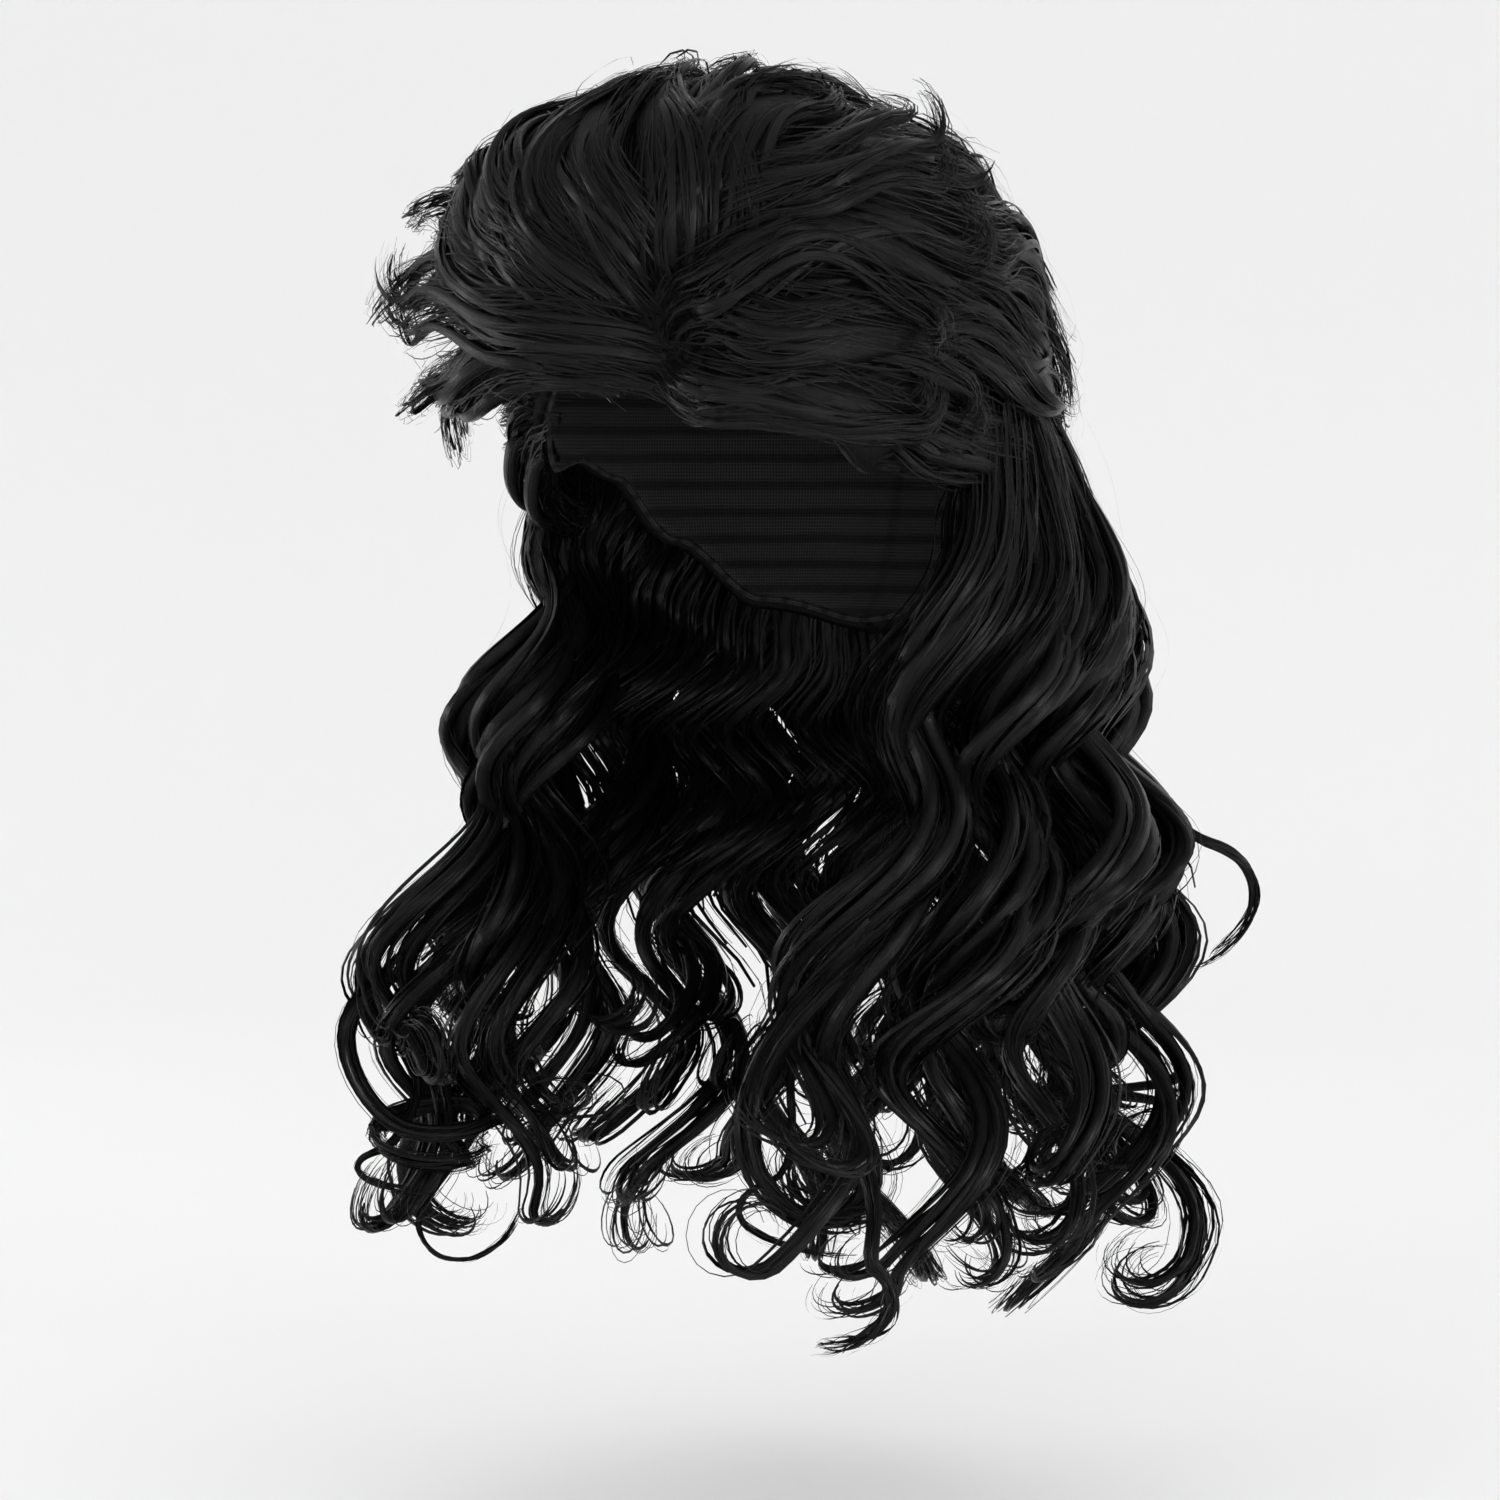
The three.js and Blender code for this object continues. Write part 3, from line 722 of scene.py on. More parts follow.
# %% [markdown]
# Hair leaves the cap as one smooth sheet and gathers into curls on the way. So every strand has two
# places: one spread evenly over the lock's oval section, and one in the curl of its clump. It moves
# from the first to the second along its length, which opens the dark partings by itself. Its root
# dips under the lock, so that no strand seems to start in the air.

# %% Paths of the strands
TWISTS_OF_A_CLUMP = 0.6
ROOT_RUN = 0.16


def strand_paths(frame_at, halves, clumps, style, chosen, t, loose):
    """Paths of strands of chosen clumps, and the lines that they lie round.

    loose is 0 for the middle of a curl and 1 for its fibres.
    """
    clump = {key: values[chosen][:, None] for key, values in clumps.items()}
    hook_start = np.minimum(clump["end"] - style["hook_share"], t[:, -1:] - 0.02)
    whole_t, t = t, np.minimum(t, hook_start)
    middle, across, outward = frame_at(t, clump["shift"])
    downward = np.cross(outward, across)
    wide, deep = halves(t)
    count = len(t)
    s = t / clump["end"]
    shift = loose * rng.normal(0, 0.25, (count, 1)) * smooth(s, 0.2, 1)
    looser = 1 + loose * rng.normal(0, style["loosen"], (count, 1))
    angle = clump["phase"] + shift + 2 * np.pi * clump["turns"] * np.maximum(s, 0) ** style["tighten"]
    radius = clump["radius"] * looser * smooth(s, *style["curl_grows"])
    curl_aside = wide * clump["aside"] + radius * np.cos(angle)
    curl_above = deep * clump["above"] + style["roundness"] * radius * np.sin(angle)

    turn = rng.uniform(0, 2 * np.pi, (count, 1))
    thickness = mix(*style["thickness"], smooth(s, 0.3, 1)) * MM
    reach = loose * np.sqrt(rng.uniform(0.25, 1, (count, 1)))
    twist = turn + 2 * np.pi * TWISTS_OF_A_CLUMP * t
    frizz = loose * (style["frizz"][0] + style["frizz"][1] * smooth(s, 0.2, 1)) * MM
    drift_aside, drift_above = wander(t, frizz, style["slowest"]), wander(t, frizz, style["slowest"])
    drawn = smooth(s, *style["gathers"])
    sheet_aside = wide * mix(clump["aside"], np.cos(turn) * reach, loose)
    sheet_above = deep * mix(clump["above"], np.sin(turn) * reach, loose)
    aside = mix(sheet_aside, curl_aside + reach * thickness * np.cos(twist), drawn) + drift_aside
    above = mix(sheet_above, curl_above + reach * thickness * np.sin(twist), drawn) + drift_above
    tilted = (drawn * radius * style["tilt"] * np.sin(angle + clump["tilt_phase"]))[..., None] * downward
    paths = middle + across * aside[..., None] + outward * above[..., None] + tilted
    centre_aside = curl_aside * drawn
    centre_above = mix(-2 * deep, curl_above, drawn)
    centres = middle + across * centre_aside[..., None] + outward * centre_above[..., None] + tilted
    own = (whole_t - whole_t[:, :1]) / (whole_t[:, -1:] - whole_t[:, :1])
    paths = paths - outward * (style["rooted"] * MM * (1 - smooth(own, 0, ROOT_RUN)))[..., None]
    hook = hook_shift(paths, across, outward, whole_t, t, clump, style, loose)
    return kept_outside_head(paths) + hook, centres + hook


# %% [markdown]
# The ends of curled hair bend round into hooks. A hook is a circle that each strand follows from the
# way it is heading, in the plane of its clump, sliding a little sideways like a spring.

# %% Hooked ends
HOOK_SLIDE = 0.1
HOOK_UNEVENNESS = 0.1


def hook_shift(paths, across, outward, whole_t, t, clump, style, loose):
    """The last stretch of each strand bent round a circle, in the plane that its clump curls in."""
    strand = np.arange(len(t))
    last = (whole_t <= t).sum(axis=1) - 1
    heading = unit(paths[strand, last] - paths[strand, last - 1])
    side = np.cos(clump["hook_side"]) * across[strand, last]
    side = side + np.sin(clump["hook_side"]) * outward[strand, last]
    side = unit(side - heading * (side * heading).sum(axis=-1, keepdims=True))
    bend = (whole_t - t) / style["hook_share"] * clump["hook_turn"]
    radius = clump["hook_radius"] * (1 + loose * rng.normal(0, HOOK_UNEVENNESS, (len(t), 1)))
    slide = np.cross(heading, side)[:, None] * (HOOK_SLIDE * radius * bend)[..., None]
    forward = heading[:, None] * (radius * np.sin(bend))[..., None]
    sideways = side[:, None] * (radius * (1 - np.cos(bend)))[..., None]
    return forward + sideways + slide


# %% [markdown]
# A lock is filled from the inside out. A dark oval keeps light from shining through, each clump gets
# a thin core, painted a darker black as the shade inside the clump, and then come wisps, fibres and a
# few strays, each with its own start, end and width. Only the outer ones are seen, so the inside can
# stay this plain.

# %% Fill one lock
FILLING_STEPS = 25
FILLING_SIDES = 8
FILLING_TONE = 0.3
CORE_SIDES = 5
# Cores get a low tone: a darker black painted on them as the shade inside each clump.
CORE_SHADE_TONE = 0.1
DARKER_FIBRES = 1.5


def strand_tones(count):
    return rng.uniform(0, 1, count) ** DARKER_FIBRES


def comb(bundle, frame_at, halves, style):
    """Fill one lock: a dark filling, a core for each clump, wisps and fibres."""
    steps, count = style["steps"], style["clumps"]
    clumps = make_clumps(count, style)
    t = run(1, FILLING_STEPS, style["filling"][0], style["filling"][1])
    middle, across, outward = frame_at(t, 0)
    wide, deep = halves(t)
    rounded = np.sin(np.pi * np.linspace(0.01, 0.99, FILLING_STEPS)[None, :]) ** 0.6
    wide, deep = wide * style["fill_size"] * rounded, deep * style["fill_size"] * rounded
    middle = kept_outside_head(middle, deep[..., None] + MM)
    add_tubes(bundle, middle, across, outward, wide, deep, FILLING_SIDES, np.full(1, FILLING_TONE))

    chosen = np.arange(count)
    start = rng.uniform(*style["core_roots"], count)
    t = run(count, steps, start, clumps["end"] * style["core_ends"], style["bunching"])
    paths, centres = strand_paths(frame_at, halves, clumps, style, chosen, t, 0)
    s = np.linspace(0, 1, steps)[None, :]
    width = mix(*style["thickness"], smooth(s, 0.3, 1)) * MM * style["core_size"]
    width = width * thinning(steps, 0.15, 0.1, style["bluntness"])
    # Painted shade: every core gets the same low tone, darker than the strands around it.
    core_shade_tones = np.full(count, CORE_SHADE_TONE)
    add_tubes(bundle, paths, *round_frame(paths), width, width * 0.8, CORE_SIDES, core_shade_tones)

    for kind in ("wisp", "fibre", "stray"):
        strands = style[kind + "s"]
        chosen = np.arange(strands) % count
        start = rng.uniform(*style["roots"], strands)
        end = clumps["end"][chosen] + rng.uniform(-style["ragged"], 0.02, strands)
        t = run(strands, steps, start, end, style["bunching"])
        loose = style["stray_looseness"] if kind == "stray" else 1.0
        paths, centres = strand_paths(frame_at, halves, clumps, style, chosen, t, loose)
        tones = strand_tones(strands)
        if kind == "wisp":
            width = rng.uniform(*style["wisp_widths"], (strands, 1)) * MM
            width = width * thinning(steps, 0.5, 0.12, style["bluntness"])
            add_strips(bundle, paths, centres, width, style["wisp_profile"], tones)
        else:
            width = rng.uniform(*style["fibre_widths"], (strands, 1)) * MM / loose ** 2
            width = width * thinning(steps, 0.8, 0.3, style["bluntness"])
            add_strips(bundle, paths, centres, width, FLAT, tones)


# %% [markdown]
# The cap is a fine stretch net with a rolled hem, lower at the nape than at the brow. Over it lies
# teased hair that gives the style its lift. Both are closed shells between the cap's edge and the
# crown, with an inner and an outer height at every place. The solid model's edges are straight
# between their few corners, while cloth and hair run smoothly, so the same edge is eased here.

# %% Shells over the cap's form
SHELL_TONE = 0.4
SHELL_TOP = 89.5
CAP_EDGE = dict(
    around=(0, 28, 50, 66, 82, 96, 114, 140, 180),
    level=(25, 22, 9, -3, -1, -5, -20, -36, -42),
)
UNDER_HAIR = dict(
    above_edge=(0, 14, 34, 65, 132),
    front=(0.1, 0.36, 0.8, 1, 1),
    back=(0.16, 0.4, 0.62, 0.86, 1),
)


def eased(at, places, values):
    """A value between the places of a table, level at each of them."""
    place = np.interp(at, places, np.arange(len(places)))
    first = np.clip(np.floor(place).astype(int), 0, len(places) - 2)
    values = np.array(values, float)
    return mix(values[first], values[first + 1], (1 - np.cos(np.pi * (place - first))) / 2)


def cap_edge(around):
    from_brow = np.abs((np.asarray(around) + 180) % 360 - 180)
    return eased(from_brow, CAP_EDGE["around"], CAP_EDGE["level"])


def under_hair_top(around, level):
    above = level - cap_edge(around)
    front = eased(above, UNDER_HAIR["above_edge"], UNDER_HAIR["front"])
    rear = eased(above, UNDER_HAIR["above_edge"], UNDER_HAIR["back"])
    share = mix(front, rear, (1 - np.cos(np.radians(around))) / 2)
    return CAP_WALL + CLEARANCE + UNDER_HAIR_RISE * share


def add_shell(bundle, inner, outer, around_steps=100, level_steps=24):
    """A closed shell from the cap's edge to the crown, between two heights over its form."""
    around = np.linspace(-180, 180, around_steps, endpoint=False)[None, :] + np.zeros((level_steps, 1))
    level = mix(cap_edge(around), SHELL_TOP, np.linspace(0, 1, level_steps)[:, None])
    points = np.stack([over_head(around, level, height(around, level)) for height in (inner, outer)])
    index = np.arange(points[..., 0].size).reshape(points.shape[:3])
    turned = np.roll(index, -1, axis=2)
    quads = np.stack([index[1, :-1], turned[1, :-1], turned[1, 1:], index[1, 1:]], axis=-1)
    inside = np.stack([index[0, :-1], index[0, 1:], turned[0, 1:], turned[0, :-1]], axis=-1)
    rim = np.stack([index[0, 0], turned[0, 0], turned[1, 0], index[1, 0]], axis=-1)
    tops = np.stack([index[1, -1], index[0, -1, ::-1]])
    grain = np.stack([np.stack([around, level], axis=-1)] * 2) * np.pi / 180 * HEAD_BREADTH / 2 / MM
    bundle.add(points, [quads, inside, rim, tops], grain, np.full(points.shape[:3], SHELL_TONE))


print("cap's edge at brow, side and nape in degrees:", cap_edge([0, 90, 180]).round(1).tolist())

# %% [markdown]
# The net is two sets of fine threads, made from two crossed sets of waves in a material, because real
# threads would need millions of faces. Wider bands over them darken it in rows, where the hair is
# sewn on in wefts. The rolled hem is a real tube along the edge.

# %% Cap
def net_material():
    material, nodes, links = node_material("cap_net")
    shader = nodes["Principled BSDF"]
    shader.inputs["Roughness"].default_value = 0.8
    shader.inputs["Specular IOR Level"].default_value = 0.2
    grain = nodes.new("ShaderNodeUVMap")
    grain.uv_map = "grain"
    threads = []
    for direction in ("X", "Y"):
        wave = nodes.new("ShaderNodeTexWave")
        wave.bands_direction = direction
        wave.inputs["Scale"].default_value = 0.28
        wave.inputs["Distortion"].default_value = 1.2
        wave.inputs["Detail Scale"].default_value = 0.2
        links.new(grain.outputs["UV"], wave.inputs["Vector"])
        threads.append(wave)
    net = nodes.new("ShaderNodeMath")
    net.operation = "MAXIMUM"
    links.new(threads[0].outputs["Fac"], net.inputs[0])
    links.new(threads[1].outputs["Fac"], net.inputs[1])
    wefts = nodes.new("ShaderNodeTexWave")
    wefts.bands_direction = "Y"
    wefts.inputs["Scale"].default_value = 0.035
    wefts.inputs["Distortion"].default_value = 0.6
    links.new(grain.outputs["UV"], wefts.inputs["Vector"])
    rows = nodes.new("ShaderNodeMapRange")
    rows.inputs["From Min"].default_value = 0.1
    rows.inputs["From Max"].default_value = 0.45
    rows.inputs["To Min"].default_value = 0.55
    links.new(wefts.outputs["Fac"], rows.inputs["Value"])
    worn = nodes.new("ShaderNodeMath")
    worn.operation = "MULTIPLY"
    links.new(net.outputs["Value"], worn.inputs[0])
    links.new(rows.outputs["Result"], worn.inputs[1])
    shades = nodes.new("ShaderNodeValToRGB")
    shades.color_ramp.elements[0].color = (0.003, 0.003, 0.003, 1)
    shades.color_ramp.elements[0].position = 0.4
    shades.color_ramp.elements[1].color = (0.03, 0.029, 0.029, 1)
    links.new(worn.outputs["Value"], shades.inputs["Fac"])
    links.new(shades.outputs["Color"], shader.inputs["Base Color"])
    bump = nodes.new("ShaderNodeBump")
    bump.inputs["Strength"].default_value = 0.7
    bump.inputs["Distance"].default_value = 0.4 * MM
    links.new(net.outputs["Value"], bump.inputs["Height"])
    links.new(bump.outputs["Normal"], shader.inputs["Normal"])
    return material


HEM_RADIUS = 1.3 * MM
HEM_SIDES = 8
cap_net = net_material()
cap = Bundle()
add_shell(cap, lambda around, level: 0 * level, lambda around, level: CAP_WALL + 0 * level)
around = np.linspace(-180, 180, 181)[None, :]
hem = over_head(around, cap_edge(around) + 0.6, CAP_WALL / 2)
hem_out = out_from_head(hem)
hem_along = unit(np.gradient(hem, axis=1))
hem_size = np.full(around.shape, HEM_RADIUS)
hem_aside = np.cross(hem_along, hem_out)
add_tubes(cap, hem, hem_aside, hem_out, hem_size, hem_size, HEM_SIDES, np.full(1, SHELL_TONE))
make_piece("net_cap", cap, cap_net, "cap")

# %% [markdown]
# Short hairs are knotted along the brow and the temples. They leave the hem, bend over the edge of
# the teased layer and lie back along it, so that the style grows out of the cap without a step.

# %% Teased layer and hairline
HAIRLINE_REACH = 92
HAIRLINE_FIBRES = 900
PARTING = 5


def teased_height(around, level):
    lumps = np.sin(np.radians(around * 7)) * np.sin(np.radians(level * 9))
    lumps = lumps + np.sin(np.radians(around * 13 + level * 5))
    return under_hair_top(around, level) * 0.94 + 0.5 * MM * lumps * smooth(level, -40, 10)


def comb_hairline(bundle, count, steps=17):
    root = rng.uniform(-HAIRLINE_REACH, HAIRLINE_REACH, (count, 1))
    side = np.where(root < PARTING, -1, 1)
    t = run(count, steps, 0, 1)
    around = root + side * rng.uniform(8, 44, (count, 1)) * t ** 1.3
    climb = rng.uniform(6, 34, (count, 1)) * (1 - np.abs(root) / 80) - 4
    level = cap_edge(root) + 0.6 + climb * t
    lying = np.maximum(level, cap_edge(around) + 0.6)
    height = under_hair_top(around, lying) + (1 + rng.uniform(0, 3, (count, 1))) * MM
    out = mix(CAP_WALL, height, smooth(t, 0, 0.4)) + wander(t, 0.8 * MM * smooth(t, 0.1, 1))
    paths = over_head(around, lying + wander(t, 0.8 * smooth(t, 0.1, 1)), out)
    width = rng.uniform(0.3, 0.6, (count, 1)) * MM * thinning(steps, 0.8, 0.3)
    centres = paths - out_from_head(paths) * 10 * MM
    add_strips(bundle, paths, centres, width, FLAT, strand_tones(count))


teased = Bundle()
add_shell(teased, lambda around, level: CAP_WALL + CLEARANCE + 0 * level, teased_height)
comb_hairline(teased, HAIRLINE_FIBRES)
make_piece("teased_layer", teased, under_fibre, "under_hair")

# %% [markdown]
# The short hair is brushed up off the brow. It waves flat over the crown, and its ends flick away
# from it. A style is a list of limits that chance draws from. One style serves all the short hair,
# and three sections change a few of its values: crisper flicks at the right, flatter ones at the back.

# %% Styles of the short hair
SHORT_STYLE = dict(
    steps=23, clumps=6, families=3, wisps=40, fibres=185, strays=3, filling=(0.12, 0.82), fill_size=0.6,
    core_size=0.5, bunching=0.9, ragged=0.07, stray_looseness=1.3, spread=(0.45, 0.95), layering=0.8,
    reversed=0.2, radius=(5, 9), turns=(1.1, 1.8), phase_spread=0.35, wave_shift=40, tilt=0.2,
    ends=(0.92, 1.06), loosen=0.15, tighten=1.0, curl_grows=(0.05, 0.5), thickness=(7.0, 3.2),
    frizz=(0.5, 1.2), roundness=0.5, gathers=(0.15, 0.9), slowest=1.0, wisp_widths=(0.7, 1.8),
    fibre_widths=(0.2, 0.34), bluntness=3.5, hook_share=0.18, hook_radius=(8, 14), hook_turn=(60, 190),
    hook_side=(-30, 35), out_of_step=0.3, roots=(-0.12, 0.35), rooted=9, wisp_profile=LOW_ROOF,
    core_roots=(0.08, 0.3), core_ends=0.88,
)
ROLL_STYLE = dict(
    SHORT_STYLE, hook_side=(-110, -70), hook_turn=(60, 120), radius=(4, 8), roots=(-0.08, 0.3)
)
SECTION_STYLES = {
    "quiff_right": dict(SHORT_STYLE, hook_radius=(7, 12), hook_turn=(90, 250), ragged=0.04, bluntness=6),
    "crown_layers": dict(SHORT_STYLE, hook_side=(-60, 10), hook_turn=(20, 110)),
    "side_right": dict(SHORT_STYLE, hook_side=(-20, 40), hook_turn=(60, 260)),
}

print("styles:", sorted(SECTION_STYLES))

# %% [markdown]
# Over the brow the hair also rolls up and back over the locks that sweep aside. These rolls belong to
# the two quiffs, but run another way, so they have small tables of their own. They fan out from one
# point, which leaves the dark well at the parting.

# %% Rolls over the brow
CENTRE_ROLLS = [
    dict(around=(8, 4, -6), level=(34, 58, 86), rise=(0.15, 1.04, 0.96), width=0.9, wave=0.8, waves=1),
    dict(around=(12, 17, 24), level=(35, 60, 88), rise=(0.15, 1.02, 0.96), width=0.95, wave=-0.8,
         waves=1),
    dict(around=(18, 34, 62), level=(36, 57, 76), rise=(0.15, 0.98, 0.96), width=0.95, wave=0.8,
         waves=1.5),
]

QUIFF_ROLLS = [
    dict(around=(7, -14, -12), level=(31, 51, 82), rise=(0.14, 1.1, 0.96), width=0.9, wave=0.7, waves=1),
    dict(around=(5, -26, -26), level=(29, 46, 78), rise=(0.16, 1.16, 0.96), width=0.9, wave=-0.7,
         waves=1),
    dict(around=(3, -38, -42), level=(27, 41, 72), rise=(0.18, 1.2, 0.98), width=0.9, wave=0.7, waves=1),
    dict(around=(0, -49, -60), level=(25, 37, 65), rise=(0.2, 1.24, 0.98), width=0.9, wave=-0.7,
         waves=1),
    dict(around=(-6, -60, -76), level=(24, 33, 54), rise=(0.22, 1.26, 1.04), width=0.9, wave=0.7,
         waves=1),
]


ROLLS = {"quiff_right": QUIFF_ROLLS, "quiff_left": CENTRE_ROLLS}
print(sum(len(rows) for rows in ROLLS.values()), "rolls")

# %% [markdown]
# Each row of the tables is combed as one lock, fuller in the middle than at its root and thinner
# towards its tip. Loose fibres then run between the locks, at places blended from two rows, so that
# the locks don't stand apart like fingers.

# %% Short hair
def short_taper(t):
    s = np.clip(t, 0, 1)
    return (0.8 + 0.2 * np.sin(np.clip(s / 0.35, 0, 1) * np.pi / 2)) * (1 - 0.42 * smooth(s, 0.45, 1))


def short_halves(width):
    return lambda t: (
        SHORT_LOCK_WIDTH / 2 * width * short_taper(t),
        SHORT_LOCK_THICKNESS / 2 * short_taper(t),
    )


def blended(rows, place):
    """A row for each strand, blended from the two rows of the table that it lies between."""
    first = np.clip(np.floor(place).astype(int), 0, len(rows) - 2)
    share = place - first

    def between(values):
        values = np.array(values, float)
        return mix(values[first], values[first + 1], share)[:, None]

    made = {}
    for key, value in rows[0].items():
        if isinstance(value, tuple):
            made[key] = tuple(between([row[key][i] for row in rows]) for i in range(len(value)))
        else:
            made[key] = between([row[key] for row in rows])
    return made


def comb_between_rows(bundle, rows, count, steps=19):
    place = rng.uniform(-0.35, len(rows) - 0.65, count)
    row = blended(rows, place)
    t = run(count, steps, rng.uniform(-0.02, 0.3, count), rng.uniform(0.75, 1.05, count))
    middle, across, outward = short_frame(row, t)
    sunk = rng.uniform(-0.75, 0.75, (count, 1)) * SHORT_LOCK_THICKNESS / 2
    size = (1.0 + 2.5 * smooth(t, 0.2, 1)) * MM
    paths = middle + across * wander(t, size)[..., None] + outward * (sunk + wander(t, size))[..., None]
    width = rng.uniform(0.22, 0.4, (count, 1)) * MM * thinning(steps, 0.8, 0.3)
    tones = strand_tones(count)
    centres = middle - outward * SHORT_LOCK_THICKNESS
    add_strips(bundle, kept_outside_head(paths), centres, width, FLAT, tones)


FIBRES_BETWEEN_ROWS = 60

for section, rows in SHORT_LOCKS.items():
    hair = Bundle()
    section_style = SECTION_STYLES.get(section, SHORT_STYLE)
    for style, locks in ((section_style, rows), (ROLL_STYLE, ROLLS.get(section, []))):
        for row in locks:
            comb(hair, lambda t, shift: short_frame(row, t, shift), short_halves(row["width"]), style)
    comb_between_rows(hair, rows, FIBRES_BETWEEN_ROWS * len(rows))
    make_piece(section + "_hair", hair, black_fibre, section)

# %% [markdown]
# The long locks wind more, and more freely, than the short ones: their families are out of step, some
# wind the other way, and their ends bend into wide hooks. The front lock hangs freely over the
# shoulder, so its ends are a little shorter, its hooks bend to a slightly other side and its waves
# shift less.

# %% Styles of the tail
LONG_STYLE = dict(
    steps=63, clumps=7, families=4, wisps=33, fibres=77, strays=5, filling=(0.02, 0.75), fill_size=0.62,
    core_size=0.58, bunching=0.75, ragged=0.05, stray_looseness=1.4, spread=(0.45, 0.95), layering=0.9,
    reversed=0.4, radius=(4, 8.5), turns=(1.8, 3.2), phase_spread=0.35, wave_shift=85, tilt=0.3,
    ends=(0.98, 1.18), loosen=0.2, tighten=1.3, curl_grows=(0.25, 0.8), thickness=(7.0, 6.2),
    frizz=(0.8, 2.0), roundness=1.0, gathers=(0.2, 0.65), slowest=1.4, wisp_widths=(0.8, 1.6),
    fibre_widths=(0.24, 0.4), bluntness=6, hook_share=0.19, hook_radius=(11, 17), hook_turn=(170, 330),
    hook_side=(-85, -25), out_of_step=1.0, roots=(-0.02, 0.05), rooted=2, wisp_profile=ROOFED,
    core_roots=(0.04, 0.12), core_ends=0.95,
)
FRONT_STYLE = dict(LONG_STYLE, ends=(0.95, 1.1), hook_side=(-75, -20), wave_shift=55)
SHEET_FIBRES = 84
SHEET_WISPS = 34
SHEET_STEPS = 29


print("strands in a long lock:", LONG_STYLE["wisps"] + LONG_STYLE["fibres"] + LONG_STYLE["strays"])

# %% [markdown]
# Every long lock leaves the cap as part of one sheet, then splits into ringlets that hang apart with
# air between them. The sheet is made of fibres and wisps blended between neighbouring locks. Its
# roots spread down the back of the cap to the nape, so the inside of the tail is closed too.

# %% Tail
def long_taper(t):
    s = np.clip(t, 0, 1)
    return (0.8 + 0.2 * np.sin(np.clip(s / 0.35, 0, 1) * np.pi / 2)) * (1 - 0.15 * smooth(s, 0.5, 1))


def long_halves(t):
    return LONG_LOCK_WIDTH / 2 * long_taper(t), LONG_LOCK_THICKNESS / 2 * long_taper(t)


def comb_sheet(bundle, rows, place, count, widths, profile):
    """Loose hair between neighbouring locks, rooted from their roots down to the cap's edge."""
    row = blended(rows, np.clip(place + rng.uniform(-0.6, 0.6, count), -0.3, len(rows) - 0.7))
    lower = rng.uniform(-0.6, 1, (count, 1)).clip(0)
    row["level"] = mix(row["level"], cap_edge(row["around"]) + 2, lower)
    row["root_rise"] = mix(LONG_ROOT_RISE, 0.05, lower)
    row["shoulder"] = mix(SHOULDER_BELOW_ROOT, 8, lower)
    row["swell"] = row["swell"] * (1 - 0.3 * lower)
    start = rng.uniform(0, 0.08, count) * (1 - lower[:, 0])
    t = run(count, SHEET_STEPS, start, rng.uniform(0.42, 0.8, count))
    middle, across, outward = long_frame(row, t)
    sunk = rng.uniform(-0.9, 1.1, (count, 1)) * LONG_LOCK_THICKNESS / 2 * smooth(t, 0, 0.2)
    size = (0.5 + 3 * smooth(t, 0.3, 0.9)) * MM
    paths = middle + across * wander(t, size)[..., None] + outward * (sunk + wander(t, size))[..., None]
    width = rng.uniform(*widths, (count, 1)) * MM * thinning(SHEET_STEPS, 0.8, 0.3)
    tones = strand_tones(count)
    centres = middle - outward * LONG_LOCK_THICKNESS
    add_strips(bundle, kept_outside_head(paths), centres, width, profile, tones)


long_rows = list(LONG_LOCKS.values())
tail = {}
for place, (name, row) in enumerate(LONG_LOCKS.items()):
    hair = tail[name] = Bundle()
    style = FRONT_STYLE if name == "lock_left_1" else LONG_STYLE
    comb(hair, lambda t, shift: long_frame(row, t, shift), long_halves, style)
    comb_sheet(hair, long_rows, place, SHEET_FIBRES, (0.35, 0.6), FLAT)
    comb_sheet(hair, long_rows, place, SHEET_WISPS, (1.2, 2.4), ROOFED)
print(len(tail), "long locks combed")

# %% [markdown]
# Some curls of a worn wig break away from the tail and stand off its outline: a bow that bulges out
# at the front, a wide loop at the shoulder, and coils and single rings at the foot. Each follows its
# long lock for a while, unseen, and then bends round an ellipse. The table gives the direction that it
# leaves in, how far it reaches and how thick it is, in millimetres and degrees.

# %% Loose curls
FOLLOWS_LOCK_FOR = 0.12
BENDS_FROM = 0.08
LOOSE_CURLS = [
    dict(lock="lock_left_1", place=0.72, heading=-57, dip=30, lean=10, reach=36, size=31, turns=0.5,
         drop=18, thick=6),
    dict(lock="lock_left_1", place=0.9, heading=123, dip=0, lean=0, reach=24, size=17, turns=0.52,
         drop=2, thick=3.2),
    dict(lock="lock_left_1", place=0.84, heading=-57, dip=0, lean=15, reach=42, size=15, turns=0.5,
         drop=3, thick=1.5),
    dict(lock="lock_left_4", place=0.6, heading=123, dip=-15, lean=10, reach=37, size=27,
         turns=0.47, drop=0, thick=2),
    dict(lock="lock_left_4", place=0.82, heading=123, dip=0, lean=68, reach=34, size=14, turns=1.45,
         drop=26, thick=2.4),
    dict(lock="lock_right_2", place=0.86, heading=-57, dip=0, lean=72, reach=22, size=20, turns=1.9,
         drop=24, thick=4),
    dict(lock="lock_right_2", place=0.92, heading=-57, dip=0, lean=0, reach=30, size=9, turns=0.5,
         drop=2, thick=1.6),
    dict(lock="lock_right_3", place=1.0, heading=-57, dip=50, lean=0, reach=24, size=19, turns=0.62,
         drop=0, thick=1.2),
]
DOWN = np.array([0, 0, -1.0])


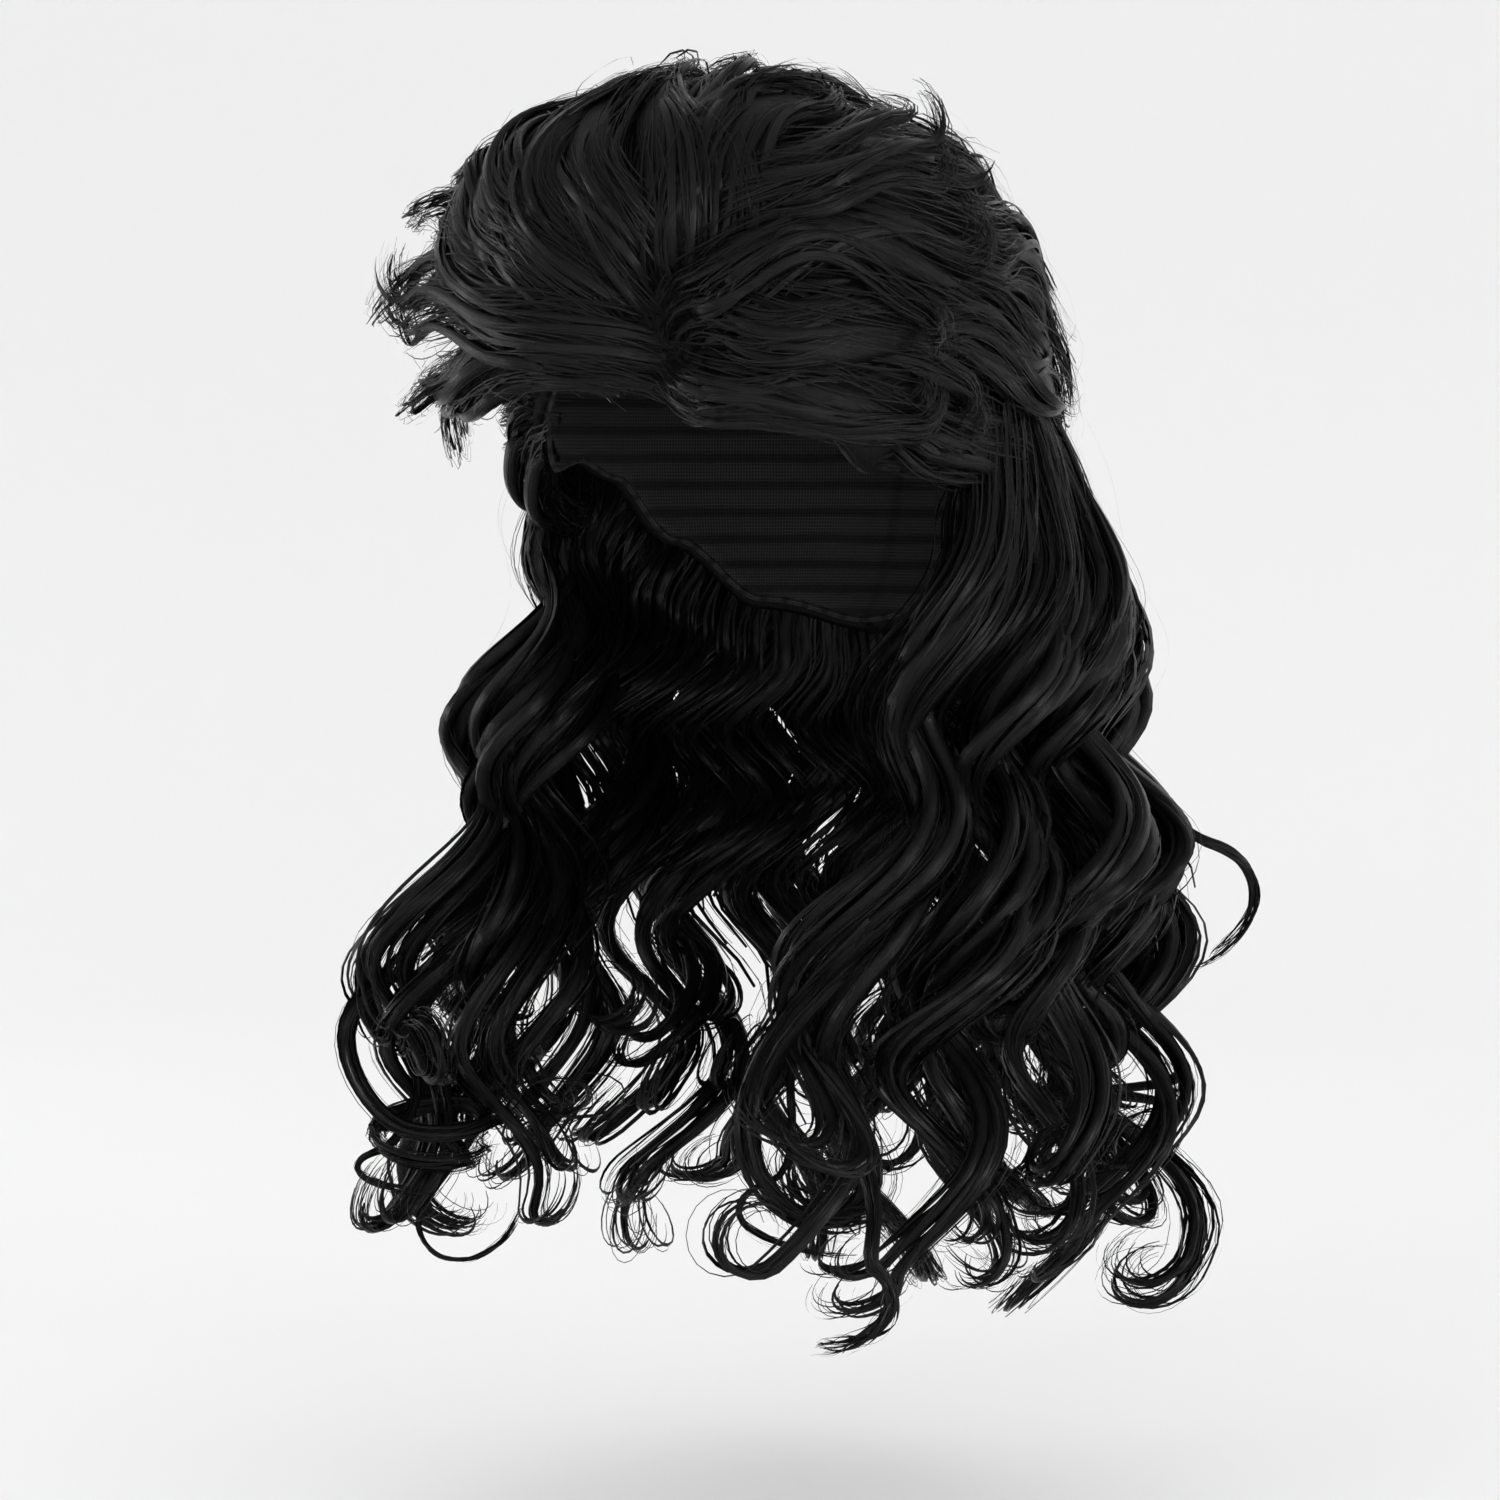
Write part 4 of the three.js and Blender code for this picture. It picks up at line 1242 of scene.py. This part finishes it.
def loose_line(curl, t):
    turned, dip, lean = np.radians([curl["heading"], curl["dip"], curl["lean"]])
    level = np.array([np.sin(turned), -np.cos(turned), 0])
    ahead = level * np.cos(dip) + DOWN * np.sin(dip)
    bend = DOWN * np.cos(dip) - level * np.sin(dip)
    bend = bend * np.cos(lean) + np.cross(ahead, bend) * np.sin(lean)
    followed = curl["place"] - FOLLOWS_LOCK_FOR * (1 - smooth(t, 0, 0.3))
    angle = 2 * np.pi * curl["turns"] * np.maximum(t - BENDS_FROM, 0) / (1 - BENDS_FROM)
    swing = ahead * (curl["reach"] * np.sin(angle))[..., None]
    swing = swing + bend * (curl["size"] * (1 - np.cos(angle)))[..., None]
    drop = DOWN * curl["drop"] * t[..., None]
    return long_line(LONG_LOCKS[curl["lock"]], followed) + (swing + drop) * MM


def loose_frame(curl, t, shift=0):
    """The middle of a loose curl and its directions. It has no waves of its own to shift."""
    along = directions(lambda at: loose_line(curl, at), t)
    turned = np.radians(curl["heading"] - 90)
    across = unit(np.cross(along, np.array([np.sin(turned), -np.cos(turned), 0.3])))
    return loose_line(curl, t), across, np.cross(across, along)


def loose_style(thick, turns):
    """A thicker curl gets more strands, further apart, and a longer one more steps."""
    return dict(
        LONG_STYLE, steps=24 + round(12 * turns), clumps=1 + round(0.7 * thick), families=2,
        wisps=round(3 * thick), fibres=4 + round(6 * thick), strays=2, filling=(0.05, 0.8),
        fill_size=0.5, bunching=1.0, ragged=0.08, spread=(0.3, 0.8), turns=(0.6, 1.4),
        radius=(0.1 * thick, 0.3 * thick), thickness=(0.55 * thick, 0.3 * thick), ends=(0.95, 1.04),
        frizz=(0.1 + 0.08 * thick, 0.2 + 0.2 * thick), curl_grows=(0.1, 0.6), gathers=(0.1, 0.5),
        wisp_widths=(0.5, 1.0), wisp_profile=LOW_ROOF, hook_share=0.05, hook_radius=(4, 8),
        hook_turn=(0, 30), roots=(0, 0.06), core_roots=(0.02, 0.08), rooted=0,
    )


def loose_halves(thick):
    return lambda t: (thick * MM * long_taper(t), 0.8 * thick * MM * long_taper(t))


for curl in LOOSE_CURLS:
    hair, thick = tail[curl["lock"]], curl["thick"]
    style = loose_style(thick, curl["turns"])
    comb(hair, lambda t, shift: loose_frame(curl, t, shift), loose_halves(thick), style)
for name, hair in tail.items():
    make_piece(name + "_hair", hair, black_fibre, name)

# %% [markdown]
# Last, we count the triangles of the pieces and print the dressed wig's box, to stand beside the
# solid's box printed at the start.

# %% Finish
PIECE_ENDINGS = ("_hair", "_cap", "_layer")
shown = [o for o in bpy.context.scene.objects if o.type == "MESH" and o.name.endswith(PIECE_ENDINGS)]
print("triangles in all:", sum(len(o.data.loops) - 2 * len(o.data.polygons) for o in shown))
low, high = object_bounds()
print("hair's box in mm:", [round(v / MM) for v in (*low, *high)])
